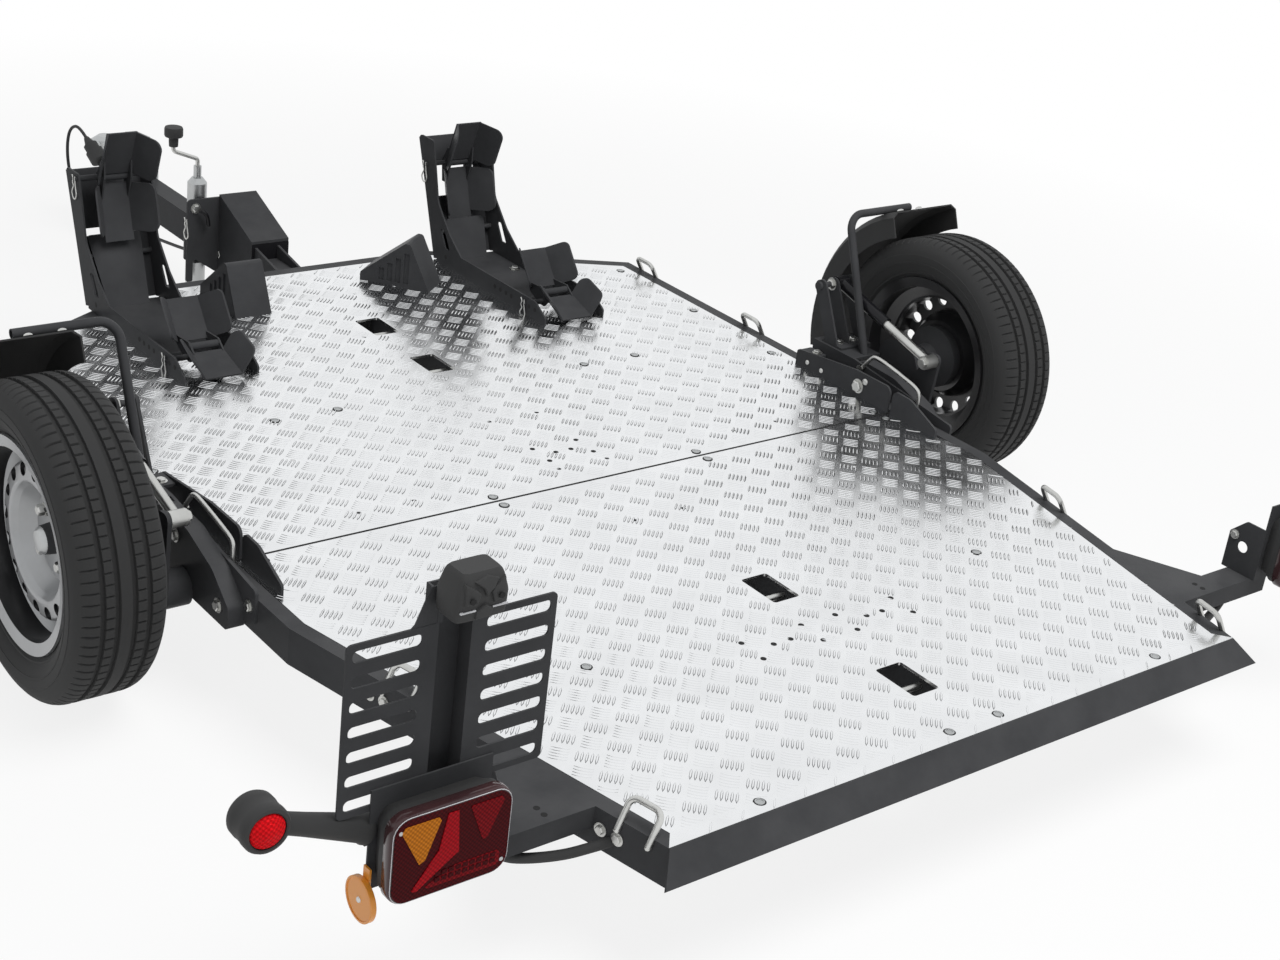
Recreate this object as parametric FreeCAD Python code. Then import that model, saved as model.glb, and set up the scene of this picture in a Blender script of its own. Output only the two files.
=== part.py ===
import FreeCAD, Part
import math
import os

V = FreeCAD.Vector
X_AXIS = V(1, 0, 0)
Y_AXIS = V(0, 1, 0)
Z_AXIS = V(0, 0, 1)

# A low platform trailer for two motorcycles. Millimetres, +X right, +Y forward, ground at z = 0.
# Lengths along the trailer are measured from the rear edge of the deck while modelling.

# Platform frame, a folded channel all the way round
FRAME_BOTTOM = 158.0
FRAME_HEIGHT = 65.0
FRAME_WALL = 4.0
FRAME_FLANGE = 28.0
REAR_HALF = 630.0
SIDE_HALF = 797.0
FRONT_HALF = 360.0
KINK_Y = 750.0
SHOULDER_Y = 1940.0
FRAME_LENGTH = 2182.0
FRAME_TOP = FRAME_BOTTOM + FRAME_HEIGHT

# Rear ramp lip
LIP_REACH = 36.0
LIP_DROP = 38.0
LIP_FLARE = 30.0
LIP_THICK = 4.0

# Deck plates
PLATE_THICK = 5.0
PLATE_GAP = 1.0
SEAM_Y = 985.0
SEAM_WIDTH = 4.0
DECK_TOP = FRAME_TOP
PLATE_BOTTOM = DECK_TOP - PLATE_THICK
CUTOUT_WIDTH = 58.0
CUTOUT_LENGTH = 90.0
CUTOUT_CORNER = 6.0
CUTOUT_YS = (173.0, 508.0, 1579.0, 1800.0)
HOLE_R = 4.5
REAR_HOLES = ((171.0, 330.0), (171.0, 385.0), (124.0, 358.0), (87.0, 358.0), (39.0, 330.0), (39.0, 385.0))
FRONT_HOLES = ((52.0, 1144.0), (52.0, 1087.0), (18.0, 1114.0))

# Bolt holes for the chocks: three rows in use across the deck and the places further back
CHOCK_BOLT_HALF = 57.0
CHOCK_BOLT_YS = (1758.0, 1989.0)
SPARE_BOLT_YS = (816.0, 1050.0, 1284.0)

# Tubes under the deck
CROSS_WIDTH = 40.0
CROSS_WALL = 3.0
CROSS_YS = (60.0, 440.0, 964.0, 1014.0, 1480.0, 1900.0)
RAIL_WIDTH = 30.0
RAIL_INNER = 34.0
LASH_BAR_R = 6.0
LASH_BAR_DROP = 22.0

# Lashing eyes, round bar hoops set in notches of the frame's edge and leaning in over the deck
EYE_YS = (58.0, 511.0, 1470.0, 1860.0)
EYE_PITCH = 56.0
EYE_R = 5.0
EYE_REACH = 52.0
EYE_DROP = 12.0
EYE_LEAN = 30.0
EYE_BEND = 14.0

# Wheels
WHEEL_Y = 1108.0
TYRE_R = 265.0
TYRE_WIDTH = 160.0
TYRE_GAP = 42.0
RIM_FLANGE_R = 182.0
RIM_WIDTH = 124.0
RIM_SHEET = 5.0
RIM_HOLES = 16
RIM_HOLE_R = 12.0
RIM_HOLE_PITCH_R = 119.0
HUB_R = 27.0
HUB_FLANGE_R = 68.0
HUB_RIBS = 5
CAP_R = 24.0
STUB_R = 16.0
BOLT_FACE_R = 30.0
AXLE_Z = TYRE_R

# Suspension
ARM_PIVOT_Y = 1035.0
ARM_PIVOT_Z = 168.0
ARM_OFFSET = 85.0
PIVOT_TUBE_R = 33.0
PIVOT_PIN_R = 16.0
ARM_THICK = 14.0
ARM_LOW_R = 44.0
ARM_HIGH_R = 58.0
LEVER_THICK = 7.0
RUNNING_GAP = 6.0
SHOCK_TOP_Y = 1290.0
SHOCK_TOP_Z = 392.0
SHOCK_LOW_Y = 1000.0
SHOCK_LOW_Z = 315.0
SHOCK_BODY_R = 13.0
SHOCK_BODY_LENGTH = 150.0
SHOCK_ROD_R = 9.5
SHOCK_EYE_R = 15.0
SHOCK_PIN_R = 6.0
SEAT_GAP = 0.3

# Wheel brackets, plates on both sides of the side frame
INNER_PLATE_X = SIDE_HALF - 45.0
INNER_PLATE_THICK = 5.0
OUTER_PLATE_THICK = 6.0
BRACKET_REAR_Y = 849.0
BRACKET_FRONT_Y = 1278.0
BRACKET_RISE = 55.0
BRACKET_END_RISE = 34.0
FOLD_WIDTH = 35.0
FOLD_LENGTH = 55.0
HOUSING_DEPTH = 30.0
HOUSING_SHEET = 5.0
BRACKET_CREST_Y = 1095.0
HOUSING_REAR_Y = 882.0
HOUSING_FRONT_Y = 1160.0
SHELF_RISE = 52.0
SHELF_REAR_Y = 1150.0
SHELF_SHEET = 5.0
TOWER_REAR_Y = 1196.0
TOWER_WIDTH = 38.0
TOWER_SHEET = 5.0
TOWER_BASE = 62.0
TOWER_CLEAR = 7.0

# Mudguards
GUARD_R = 325.0
GUARD_THICK = 3.0
GUARD_WIDTH = 196.0
GUARD_LIP = 56.0
GUARD_START = -14.0
GUARD_SWEEP = 82.0
STAY_R = 8.5
STAY_WALL = 2.0
STAY_BASE_Y = 1164.0
STAY_CLEAR = 2.0

# Drawbar and its bracket
DRAWBAR_HALF = 26.0
DRAWBAR_BOTTOM = 132.0
DRAWBAR_HEIGHT = 76.0
DRAWBAR_WALL = 4.0
DRAWBAR_END = FRAME_LENGTH + 828.0
BRACKET_PLATE = 6.0
BRACKET_LENGTH = 330.0
COUPLING_OVERLAP = 90.0
CHEEK_REACH = 30.0
BALL_REACH = 150.0
NOSE_R = 38.0
BALL_R = 25.0
SOCKET_GAP = 0.5

# Cover box
COVER_LEFT = -40.0
COVER_RIGHT = 56.0
COVER_AHEAD = 108.0
COVER_LENGTH = 162.0
COVER_TOP = 318.0
COVER_SLOPE = 64.0
COVER_SHEET = 2.5
COVER_REAR_Y = FRAME_LENGTH + COVER_AHEAD
COVER_FRONT_Y = COVER_REAR_Y + COVER_LENGTH

# Jack
JACK_X = -78.0
JACK_AHEAD = 38.0
JACK_Y = COVER_FRONT_Y + JACK_AHEAD
JACK_R = 22.5
JACK_WALL = 2.5
JACK_TOP = 352.0
JACK_TUBE_BOTTOM = 80.0
NECK_HEIGHT = 28.0
NECK_R = 9.0
JACK_PLATE_LEFT = -120.0
LEG_R = JACK_R - JACK_WALL - 0.3
LEG_TOP = 262.0
FOOT_R = 60.0
FOOT_THICK = 6.0
CRANK_OFFSET = 62.0
CRANK_RISE = 40.0
CRANK_R = 5.0
KNOB_R = 20.0

# Supply cable with its plug, parked in a cup beside the coupling. The route runs from the gland to the plug.
CABLE_R = 4.0
GLAND_R = 7.0
CABLE_POINTS = (
    (-40.0, 300.0, 136.0), (-40.0, 348.0, 136.0), (-39.0, 418.0, 129.0), (-35.0, 508.0, 112.0),
    (-34.0, 598.0, 98.0), (-36.0, 688.0, 86.0), (-44.0, 773.0, 78.0), (-60.0, 853.0, 76.0),
    (-80.0, 923.0, 88.0), (-90.0, 978.0, 124.0), (-93.0, 1001.0, 180.0), (-93.0, 1004.0, 235.0),
    (-90.0, 990.0, 276.0), (-84.0, 953.0, 292.0), (-78.0, 922.0, 268.0),
)
CABLE_ROUTE = [(x, FRAME_LENGTH + y, z) for x, y, z in CABLE_POINTS]
PLUG_R = 18.0
PLUG_LENGTH = 70.0
CUP_DEPTH = 26.0
CUP_WALL = 4.0

# Lamp arms and lamps
ARM_Y = 156.0
ARM_WIDTH = 52.0
ARM_HEIGHT = 36.0
ARM_WALL = 3.0
ARM_END = 905.0
GUSSET_REACH = 105.0
GUSSET_LENGTH = 150.0
LAMP_INNER = 852.0
LAMP_WIDTH = 184.0
LAMP_HEIGHT = 150.0
LAMP_BOTTOM = 235.0
LAMP_DEPTH = 52.0
LAMP_BACK_Y = 122.0
LAMP_CORNER = 26.0
LAMP_PLATE = 3.0
UPRIGHT_DEPTH = 73.0
UPRIGHT_RISE = 102.0
UPRIGHT_HOLE_R = 11.0
MARKER_REACH = 150.0
MARKER_RISE = 64.0
STALK_R = 12.0
MARKER_R = 32.0
MARKER_DEPTH = 42.0
REFLECTOR_R = 32.0
REFLECTOR_DROP = 9.0

# Number plate holder
HOLDER_X = -928.0
HOLDER_BOTTOM = 343.0
HOLDER_HEIGHT = 252.0
WING_WIDTH = 128.0
POST_WIDTH = 56.0
POST_DEPTH = 30.0
POST_DROP = 43.0
HOLDER_SHEET = 3.0
SLOTS = 7
SLOT_HEIGHT = 17.0
PLATE_LAMP_HEIGHT = 86.0
PLATE_LAMP_WIDTH = 76.0
PLATE_LAMP_DEPTH = 57.0

# Motorcycle chocks: a channel base, a tower, a jaw set at its own height on each side and a cradle
CHOCK_X = 435.0
CHOCK_HALF = 82.0
CHOCK_SHEET = 4.0
CHOCK_REAR_Y = 1671.0
CHOCK_FRONT_Y = 2125.0
CHOCK_RAIL = 40.0
CHOCK_FLOOR_Y = 1815.0
TOWER_HEIGHT = 277.0
TOWER_LEAN = 100.0
TOWER_TOP_WIDTH = 64.0
BACK_BOTTOM_HALF = 45.0
BACK_TOP_HALF = 60.0
JAW_Y = 2157.0
JAW_LOW = 100.5
JAW_SET_LEFT = (-12.0, 50.0)
JAW_SET_RIGHT = (0.0, 0.0)
JAW_HALF = 34.0
JAW_PANEL = 102.0
JAW_CHEEK = 62.0
JAW_TONGUE = 0.2
WEB_SHARE = 0.55
WEB_CLEAR = 9.0
CRADLE_PIVOT_Y = 1752.0
CRADLE_PIVOT_Z = 21.0
CRADLE_HALF = 35.0
CRADLE_SHEET = 4.0
CRADLE_TUBE_R = 8.0
PIN_R = 6.0
PIN_PROUD = 5.0

# Loose wedges carried on the deck: place across and along, and turn
WEDGE_WIDTH = 85.0
WEDGE_LENGTH = 166.0
WEDGE_HEIGHT = 105.0
WEDGE_CREST = 51.0
WEDGE_TAIL = 20.0
WEDGE_PLACES = ((-217.0, 1946.0, 0.0), (250.0, 1959.0, 38.0))

# Places across the trailer that follow from one another, from the frame out to the wheel
OUTER_FACE_X = SIDE_HALF + OUTER_PLATE_THICK
HOUSING_X = OUTER_FACE_X + HOUSING_DEPTH
ARM_X = OUTER_FACE_X + ARM_OFFSET
SHOCK_X = ARM_X - LEVER_THICK - SEAT_GAP - SHOCK_EYE_R
STAY_X = SHOCK_X - SHOCK_BODY_R - STAY_R - STAY_CLEAR
HALF_TRACK = ARM_X + ARM_THICK + TYRE_GAP + TYRE_WIDTH / 2

# Rearmost and foremost points, from which the origin is set half way along
REAR_END = -LIP_REACH
BALL_Y = DRAWBAR_END + BALL_REACH
FRONT_END = BALL_Y + NOSE_R
ORIGIN_Y = (REAR_END + FRONT_END) / 2


def block(x0, x1, y0, y1, z0, z1):
    """A box between two corners."""
    return Part.makeBox(x1 - x0, y1 - y0, z1 - z0, V(x0, y0, z0))


def cylinder(centre, axis, radius, length):
    """A cylinder from a point along an axis."""
    return Part.makeCylinder(radius, length, centre, axis)


def rod(start, end, radius):
    """A round bar between two points."""
    line = end - start
    return Part.makeCylinder(radius, line.Length, start, line)


def fuse(shapes):
    """One solid from shapes that meet."""
    body = shapes[0].multiFuse(shapes[1:]) if len(shapes) > 1 else shapes[0]
    return body.removeSplitter()


def rounded(points, radius):
    """A closed wire through 3-D points with its corners rounded by one radius or a list."""
    count = len(points)
    radii = radius if isinstance(radius, (list, tuple)) else [radius] * count
    starts = []
    ends = []
    middles = []
    for i in range(count):
        here = points[i]
        back = points[i - 1] - here
        on = points[(i + 1) % count] - here
        turn = back.getAngle(on)
        trim = min(radii[i] / math.tan(turn / 2), 0.45 * back.Length, 0.45 * on.Length)
        inset = trim * math.tan(turn / 2)
        half = (back / back.Length + on / on.Length)
        half.normalize()
        starts.append(here + back * (trim / back.Length))
        ends.append(here + on * (trim / on.Length))
        middles.append(here + half * (inset / math.sin(turn / 2) - inset))
    edges = []
    for i in range(count):
        if radii[i] > 0:
            edges.append(Part.Arc(starts[i], middles[i], ends[i]).toShape())
        following = (i + 1) % count
        if (ends[i] - starts[following]).Length > 1e-6:
            edges.append(Part.LineSegment(ends[i], starts[following]).toShape())
    return Part.Wire(edges)


def sheet(points, depth, radius=0.0):
    """A flat plate: a rounded outline pushed along a vector."""
    if radius == 0.0:
        wire = Part.makePolygon(points + [points[0]])
    else:
        wire = rounded(points, radius)
    return Part.Face(wire).extrude(depth)


def side_plate(profile, x, thick, radius=0.0):
    """A plate across X from (y, z) pairs."""
    return sheet([V(x, y, z) for y, z in profile], V(thick, 0, 0), radius)


def cross_plate(profile, y, thick, radius=0.0):
    """A plate across Y from (x, z) pairs."""
    return sheet([V(x, y, z) for x, z in profile], V(0, thick, 0), radius)


def bent_bar(points, radius, bend, wall=0.0):
    """A round bar or tube along straight runs with tangent bends."""
    edges = []
    start = points[0]
    for i in range(1, len(points) - 1):
        here = points[i]
        back = points[i - 1] - here
        on = points[i + 1] - here
        turn = back.getAngle(on)
        trim = bend / math.tan(turn / 2)
        first = here + back * (trim / back.Length)
        last = here + on * (trim / on.Length)
        half = back / back.Length + on / on.Length
        half.normalize()
        middle = here + half * (bend / math.sin(turn / 2) - bend)
        if (first - start).Length > 1e-6:
            edges.append(Part.LineSegment(start, first).toShape())
        edges.append(Part.Arc(first, middle, last).toShape())
        start = last
    edges.append(Part.LineSegment(start, points[-1]).toShape())
    path = Part.Wire(edges)
    tangent = points[1] - points[0]
    outer = Part.Wire(Part.Circle(points[0], tangent, radius).toShape())
    bar = path.makePipeShell([outer], True, True)
    if wall > 0:
        inner = Part.Wire(Part.Circle(points[0], tangent, radius - wall).toShape())
        bar = bar.cut(path.makePipeShell([inner], True, True))
    return bar


def cord_tube(points, radius):
    """A cord along its route, each corner rounded by as large an arc as its two runs allow."""
    edges = []
    start = points[0]
    for i in range(1, len(points) - 1):
        here = points[i]
        back = points[i - 1] - here
        on = points[i + 1] - here
        trim = 0.45 * min(back.Length, on.Length)
        first = here + back * (trim / back.Length)
        last = here + on * (trim / on.Length)
        half = back / back.Length + on / on.Length
        half.normalize()
        turn = back.getAngle(on)
        bend = trim * math.tan(turn / 2)
        middle = here + half * (bend / math.sin(turn / 2) - bend)
        edges.append(Part.LineSegment(start, first).toShape())
        edges.append(Part.Arc(first, middle, last).toShape())
        start = last
    edges.append(Part.LineSegment(start, points[-1]).toShape())
    section = Part.Wire(Part.Circle(points[0], points[1] - points[0], radius).toShape())
    return Part.Wire(edges).makePipeShell([section], True, True)


def turned(profile, centre, start=0.0, sweep=360.0, radius=0.0):
    """A ring or wheel from (radius, x) pairs, turned about an axis along X."""
    points = [V(centre.x + x, centre.y + r, centre.z) for r, x in profile]
    wire = Part.makePolygon(points + [points[0]]) if radius == 0.0 else rounded(points, radius)
    ring = Part.Face(wire).revolve(centre, X_AXIS, sweep)
    ring.rotate(centre, X_AXIS, start)
    return ring


def mirror(shape):
    """The same piece on the left side."""
    return shape.mirror(V(0, 0, 0), X_AXIS)


# Platform outline

OUTLINE = [(REAR_HALF, 0.0), (SIDE_HALF, KINK_Y), (SIDE_HALF, SHOULDER_Y), (FRONT_HALF, FRAME_LENGTH)]
OUTLINE = OUTLINE + [(-x, y) for x, y in reversed(OUTLINE)]


def inset(distance):
    """The platform outline moved inwards, as (x, y) corners."""
    lines = []
    count = len(OUTLINE)
    for i in range(count):
        x0, y0 = OUTLINE[i]
        x1, y1 = OUTLINE[(i + 1) % count]
        length = math.hypot(x1 - x0, y1 - y0)
        nx = -(y1 - y0) / length
        ny = (x1 - x0) / length
        lines.append((nx, ny, nx * x0 + ny * y0 + distance))
    corners = []
    for i in range(count):
        a1, b1, c1 = lines[i - 1]
        a2, b2, c2 = lines[i]
        det = a1 * b2 - a2 * b1
        corners.append(((c1 * b2 - c2 * b1) / det, (a1 * c2 - a2 * c1) / det))
    return corners


def platform_prism(distance, bottom, top):
    """The platform outline, moved inwards, between two heights."""
    points = [V(x, y, bottom) for x, y in inset(distance)]
    return sheet(points, V(0, 0, top - bottom))


def half_width(y, distance=0.0):
    """Half the width of the platform at a place along it, moved inwards."""
    corners = [c for c in inset(distance) if c[0] > 0]
    for (x0, y0), (x1, y1) in zip(corners, corners[1:]):
        if y0 <= y <= y1:
            return x0 + (x1 - x0) * (y - y0) / (y1 - y0)
    return corners[0][0]


def frame_member(index):
    """One mitred length of the channel, between two corners of the outline."""
    following = (index + 1) % len(OUTLINE)
    rings = {d: inset(d) for d in (0.0, FRAME_WALL, FRAME_FLANGE)}

    def strip(depth, bottom, top):
        corners = [rings[0.0][index], rings[0.0][following], rings[depth][following], rings[depth][index]]
        return sheet([V(x, y, bottom) for x, y in corners], V(0, 0, top - bottom))

    web = strip(FRAME_WALL, FRAME_BOTTOM, FRAME_TOP)
    low = strip(FRAME_FLANGE, FRAME_BOTTOM, FRAME_BOTTOM + FRAME_WALL)
    high = strip(FRAME_FLANGE, FRAME_TOP - FRAME_WALL, FRAME_TOP)
    return fuse([web, low, high])


def side_frame_right():
    """The tapered and the straight length, welded at the kink, notched for the lashing eyes."""
    notches = Part.makeCompound([eye_bar(y, EYE_R + SEAT_GAP) for y in EYE_YS])
    return fuse([frame_member(0), frame_member(1)]).cut(notches)


def front_frame():
    """The front length with its two slanting shoulders."""
    return fuse([frame_member(2), frame_member(3), frame_member(4)])


def rear_frame():
    """The rear length under the ramp lip."""
    return frame_member(7)


def ramp_lip():
    """The sloping lip that wheels roll over, flared at its ends, on gussets."""
    normal = V(0, LIP_DROP, -LIP_REACH)
    normal.normalize()
    wide = REAR_HALF + LIP_FLARE
    face = [V(-REAR_HALF, 0, FRAME_TOP), V(REAR_HALF, 0, FRAME_TOP)]
    face = face + [V(wide, -LIP_REACH, FRAME_TOP - LIP_DROP), V(-wide, -LIP_REACH, FRAME_TOP - LIP_DROP)]
    slope = sheet(face, normal * LIP_THICK)
    keep = block(-2 * wide, 2 * wide, -2 * LIP_REACH, 0, FRAME_BOTTOM, FRAME_TOP)
    slope = slope.common(keep)
    gussets = []
    step = 2 * (REAR_HALF - FRAME_FLANGE) / 4
    low = FRAME_TOP - LIP_DROP
    for i in range(5):
        x = -REAR_HALF + FRAME_FLANGE + i * step - LIP_THICK / 2
        profile = [(0, FRAME_TOP - LIP_THICK), (-LIP_REACH, low), (-LIP_REACH + LIP_THICK, low - LIP_THICK), (0, low - LIP_THICK)]
        gussets.append(side_plate(profile, x, LIP_THICK))
    return fuse([slope] + gussets)


def deck_plate(y0, y1, cutouts, holes, bolt_rows):
    """One sheet of the deck with its lashing cut-outs and chock holes."""
    plate = platform_prism(FRAME_FLANGE + PLATE_GAP, PLATE_BOTTOM, DECK_TOP)
    plate = plate.common(block(-SIDE_HALF, SIDE_HALF, y0, y1, PLATE_BOTTOM, DECK_TOP))
    half = CUTOUT_WIDTH / 2
    for y in cutouts:
        corners = [V(-half, y - CUTOUT_LENGTH / 2, 0), V(half, y - CUTOUT_LENGTH / 2, 0)]
        corners = corners + [V(half, y + CUTOUT_LENGTH / 2, 0), V(-half, y + CUTOUT_LENGTH / 2, 0)]
        plate = plate.cut(sheet(corners, V(0, 0, 2 * FRAME_TOP), CUTOUT_CORNER))
    across = (CHOCK_BOLT_HALF, CHOCK_X - CHOCK_BOLT_HALF, CHOCK_X + CHOCK_BOLT_HALF)
    spots = list(holes) + [(x, y) for x in across for y in bolt_rows]
    drills = [cylinder(V(s * x, y, 0), Z_AXIS, HOLE_R, 2 * FRAME_TOP) for x, y in spots for s in (-1, 1)]
    return plate.cut(Part.makeCompound(drills))


def cross_tubes():
    """Square tubes from side to side, cut to the frame's slant."""
    bottom = FRAME_BOTTOM + FRAME_WALL
    inside = platform_prism(FRAME_WALL, bottom, PLATE_BOTTOM)
    tubes = []
    for y in CROSS_YS:
        y0 = y - CROSS_WIDTH / 2
        y1 = y + CROSS_WIDTH / 2
        outer = block(-SIDE_HALF, SIDE_HALF, y0, y1, bottom, PLATE_BOTTOM)
        inner = block(-SIDE_HALF, SIDE_HALF, y0 + CROSS_WALL, y1 - CROSS_WALL, bottom + CROSS_WALL, PLATE_BOTTOM - CROSS_WALL)
        tubes.append(outer.cut(inner).common(inside))
    return Part.makeCompound(tubes)


def centre_rails():
    """Two rails along the middle, in lengths between the cross tubes."""
    bottom = FRAME_BOTTOM + FRAME_WALL
    edges = [(a + CROSS_WIDTH / 2, b - CROSS_WIDTH / 2) for a, b in zip(CROSS_YS, CROSS_YS[1:])]
    rails = []
    for y0, y1 in edges:
        for side in (-1, 1):
            x0 = min(side * RAIL_INNER, side * (RAIL_INNER + RAIL_WIDTH))
            outer = block(x0, x0 + RAIL_WIDTH, y0, y1, bottom, PLATE_BOTTOM)
            inner = block(x0 + CROSS_WALL, x0 + RAIL_WIDTH - CROSS_WALL, y0, y1, bottom + CROSS_WALL, PLATE_BOTTOM - CROSS_WALL)
            rails.append(outer.cut(inner))
    return Part.makeCompound(rails)


def lashing_bars():
    """A round bar across the rails in each cut-out."""
    z = DECK_TOP - LASH_BAR_DROP
    bars = [cylinder(V(-RAIL_INNER, y, z), X_AXIS, LASH_BAR_R, 2 * RAIL_INNER) for y in CUTOUT_YS]
    return Part.makeCompound(bars)


def eye_bar(y, radius):
    """The bar of one lashing eye: up through the frame's edge, over the deck and back down."""
    slant = math.degrees(math.atan2(half_width(y + 1) - half_width(y), 1.0))
    lean = math.radians(EYE_LEAN)
    up = V(-math.sin(lean), 0, math.cos(lean))
    foot = up * (-EYE_DROP / math.cos(lean))
    half = V(0, EYE_PITCH / 2, 0)
    tip = foot + up * EYE_REACH
    points = [foot - half, tip - half, tip + half, foot + half]
    bar = bent_bar(points, radius, EYE_BEND)
    ends = [Part.makeSphere(radius, points[0]), Part.makeSphere(radius, points[-1])]
    hoop = fuse([bar] + ends)
    hoop.rotate(V(0, 0, 0), Z_AXIS, -slant)
    hoop.translate(V(half_width(y), y, FRAME_TOP))
    return hoop


def lashing_eyes_right():
    """The four hoops of one side."""
    return Part.makeCompound([eye_bar(y, EYE_R) for y in EYE_YS])


# Wheel brackets and suspension

HUB_CENTRE = V(HALF_TRACK, WHEEL_Y, AXLE_Z)


def bracket_inner_right():
    """The arched plate inside the side frame, in two lengths that part at the deck seam."""
    top = DECK_TOP + BRACKET_RISE
    low = DECK_TOP
    crest = low + BRACKET_END_RISE
    front = [(SEAM_Y + SEAM_WIDTH, low), (BRACKET_FRONT_Y, low), (BRACKET_FRONT_Y, crest)]
    front = front + [(BRACKET_CREST_Y, top), (SEAM_Y + SEAM_WIDTH, top)]
    rear = [(BRACKET_REAR_Y, low), (SEAM_Y - SEAM_WIDTH, low), (SEAM_Y - SEAM_WIDTH, top - 2)]
    rear = rear + [(SEAM_Y - BRACKET_RISE, top - 4), (BRACKET_REAR_Y, low + BRACKET_END_RISE / 2)]
    front_plate = side_plate(front, INNER_PLATE_X, INNER_PLATE_THICK, [0, 0, 8, 60, 16])
    fold_x = INNER_PLATE_X + FOLD_WIDTH
    fold = block(INNER_PLATE_X, fold_x, BRACKET_FRONT_Y - FOLD_LENGTH, BRACKET_FRONT_Y - 6, crest - INNER_PLATE_THICK, crest)
    rear_plate = side_plate(rear, INNER_PLATE_X, INNER_PLATE_THICK, [0, 0, 14, 40, 8])
    return Part.makeCompound([fuse([front_plate, fold]), rear_plate])


def bracket_outer_right():
    """The plate on the frame's outer face, the pivot housing with its pin and the shelf for the strut tower."""
    shelf_top = FRAME_TOP + SHELF_RISE
    low = FRAME_BOTTOM + FRAME_WALL
    profile = [(BRACKET_REAR_Y, low + 18), (HOUSING_REAR_Y + 30, low), (BRACKET_FRONT_Y, low), (BRACKET_FRONT_Y, shelf_top)]
    profile = profile + [(SHELF_REAR_Y, shelf_top), (SEAM_Y, FRAME_TOP + BRACKET_END_RISE)]
    profile = profile + [(BRACKET_REAR_Y, FRAME_TOP + BRACKET_END_RISE / 2)]
    plate = side_plate(profile, SIDE_HALF, OUTER_PLATE_THICK, [6, 20, 8, 8, 20, 60, 8])
    y0 = HOUSING_REAR_Y
    y1 = HOUSING_FRONT_Y
    top = FRAME_TOP + BRACKET_RISE
    shape = [(y0, FRAME_BOTTOM), (y1 - 60, FRAME_BOTTOM), (y1, FRAME_BOTTOM + 32), (y1, top - 16)]
    shape = shape + [(y1 - 40, top), (y0 + 148, top - 3), (y0 + 58, FRAME_TOP + 22), (y0, FRAME_TOP - 23)]
    housing = side_plate(shape, OUTER_FACE_X - 1, HOUSING_DEPTH + 1, [10, 30, 20, 14, 20, 50, 40, 12])
    s = HOUSING_SHEET
    pocket = [(y0 + s, 0), (y1 - 60 - s, 0), (y1 - s, FRAME_BOTTOM + 32), (y1 - s, FRAME_TOP), (y0 + s, FRAME_TOP - 28)]
    housing = housing.cut(side_plate(pocket, OUTER_FACE_X, HOUSING_DEPTH - s))
    step_x = ARM_X - RUNNING_GAP - SHELF_SHEET
    wide_x = SHOCK_X + SHOCK_EYE_R + TOWER_CLEAR + TOWER_SHEET
    z0 = shelf_top - SHELF_SHEET
    shelf = block(SIDE_HALF, step_x, SHELF_REAR_Y, BRACKET_FRONT_Y, z0, shelf_top)
    shelf_front = block(SIDE_HALF, wide_x, TOWER_REAR_Y, BRACKET_FRONT_Y, z0, shelf_top)
    gusset_y = BRACKET_FRONT_Y - SHELF_SHEET
    gusset = [V(SIDE_HALF, gusset_y, z0), V(wide_x, gusset_y, z0), V(SIDE_HALF, gusset_y, FRAME_BOTTOM + 40)]
    web = sheet(gusset, V(0, SHELF_SHEET, 0))
    pin = cylinder(V(HOUSING_X - 1, ARM_PIVOT_Y, ARM_PIVOT_Z), X_AXIS, PIVOT_PIN_R, ARM_X + ARM_THICK - HOUSING_X + 1)
    return fuse([plate, housing, shelf, shelf_front, web, pin])


def strut_tower_right():
    """Three leaning straps on a base plate that hold the upper end of the shock absorber by a long pin."""
    base = FRAME_TOP + SHELF_RISE
    reach = SHOCK_EYE_R + TOWER_CLEAR
    s = TOWER_SHEET
    foot_y = TOWER_REAR_Y + 12
    foot = block(OUTER_FACE_X, SHOCK_X + reach + s, TOWER_REAR_Y, TOWER_REAR_Y + TOWER_BASE, base, base + s)
    profile = [(foot_y, base), (foot_y + TOWER_WIDTH, base), (SHOCK_TOP_Y + 20, SHOCK_TOP_Z + 6)]
    profile = profile + [(SHOCK_TOP_Y - 12, SHOCK_TOP_Z + 20)]
    places = (OUTER_FACE_X, SHOCK_X - reach - s, SHOCK_X + reach)
    straps = [side_plate(profile, x, s, [0, 0, 15, 15]) for x in places]
    pin_start = V(OUTER_FACE_X - 6, SHOCK_TOP_Y, SHOCK_TOP_Z)
    pin_length = SHOCK_X + reach + s + 12 - pin_start.x
    pin = cylinder(pin_start, X_AXIS, SHOCK_PIN_R, pin_length)
    head = cylinder(pin_start, X_AXIS, SHOCK_PIN_R + 4, 6.5)
    nut = cylinder(pin_start + V(pin_length - 12, 0, 0), X_AXIS, SHOCK_PIN_R + 4, 8.0)
    return fuse([foot] + straps + [pin, head, nut])


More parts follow.
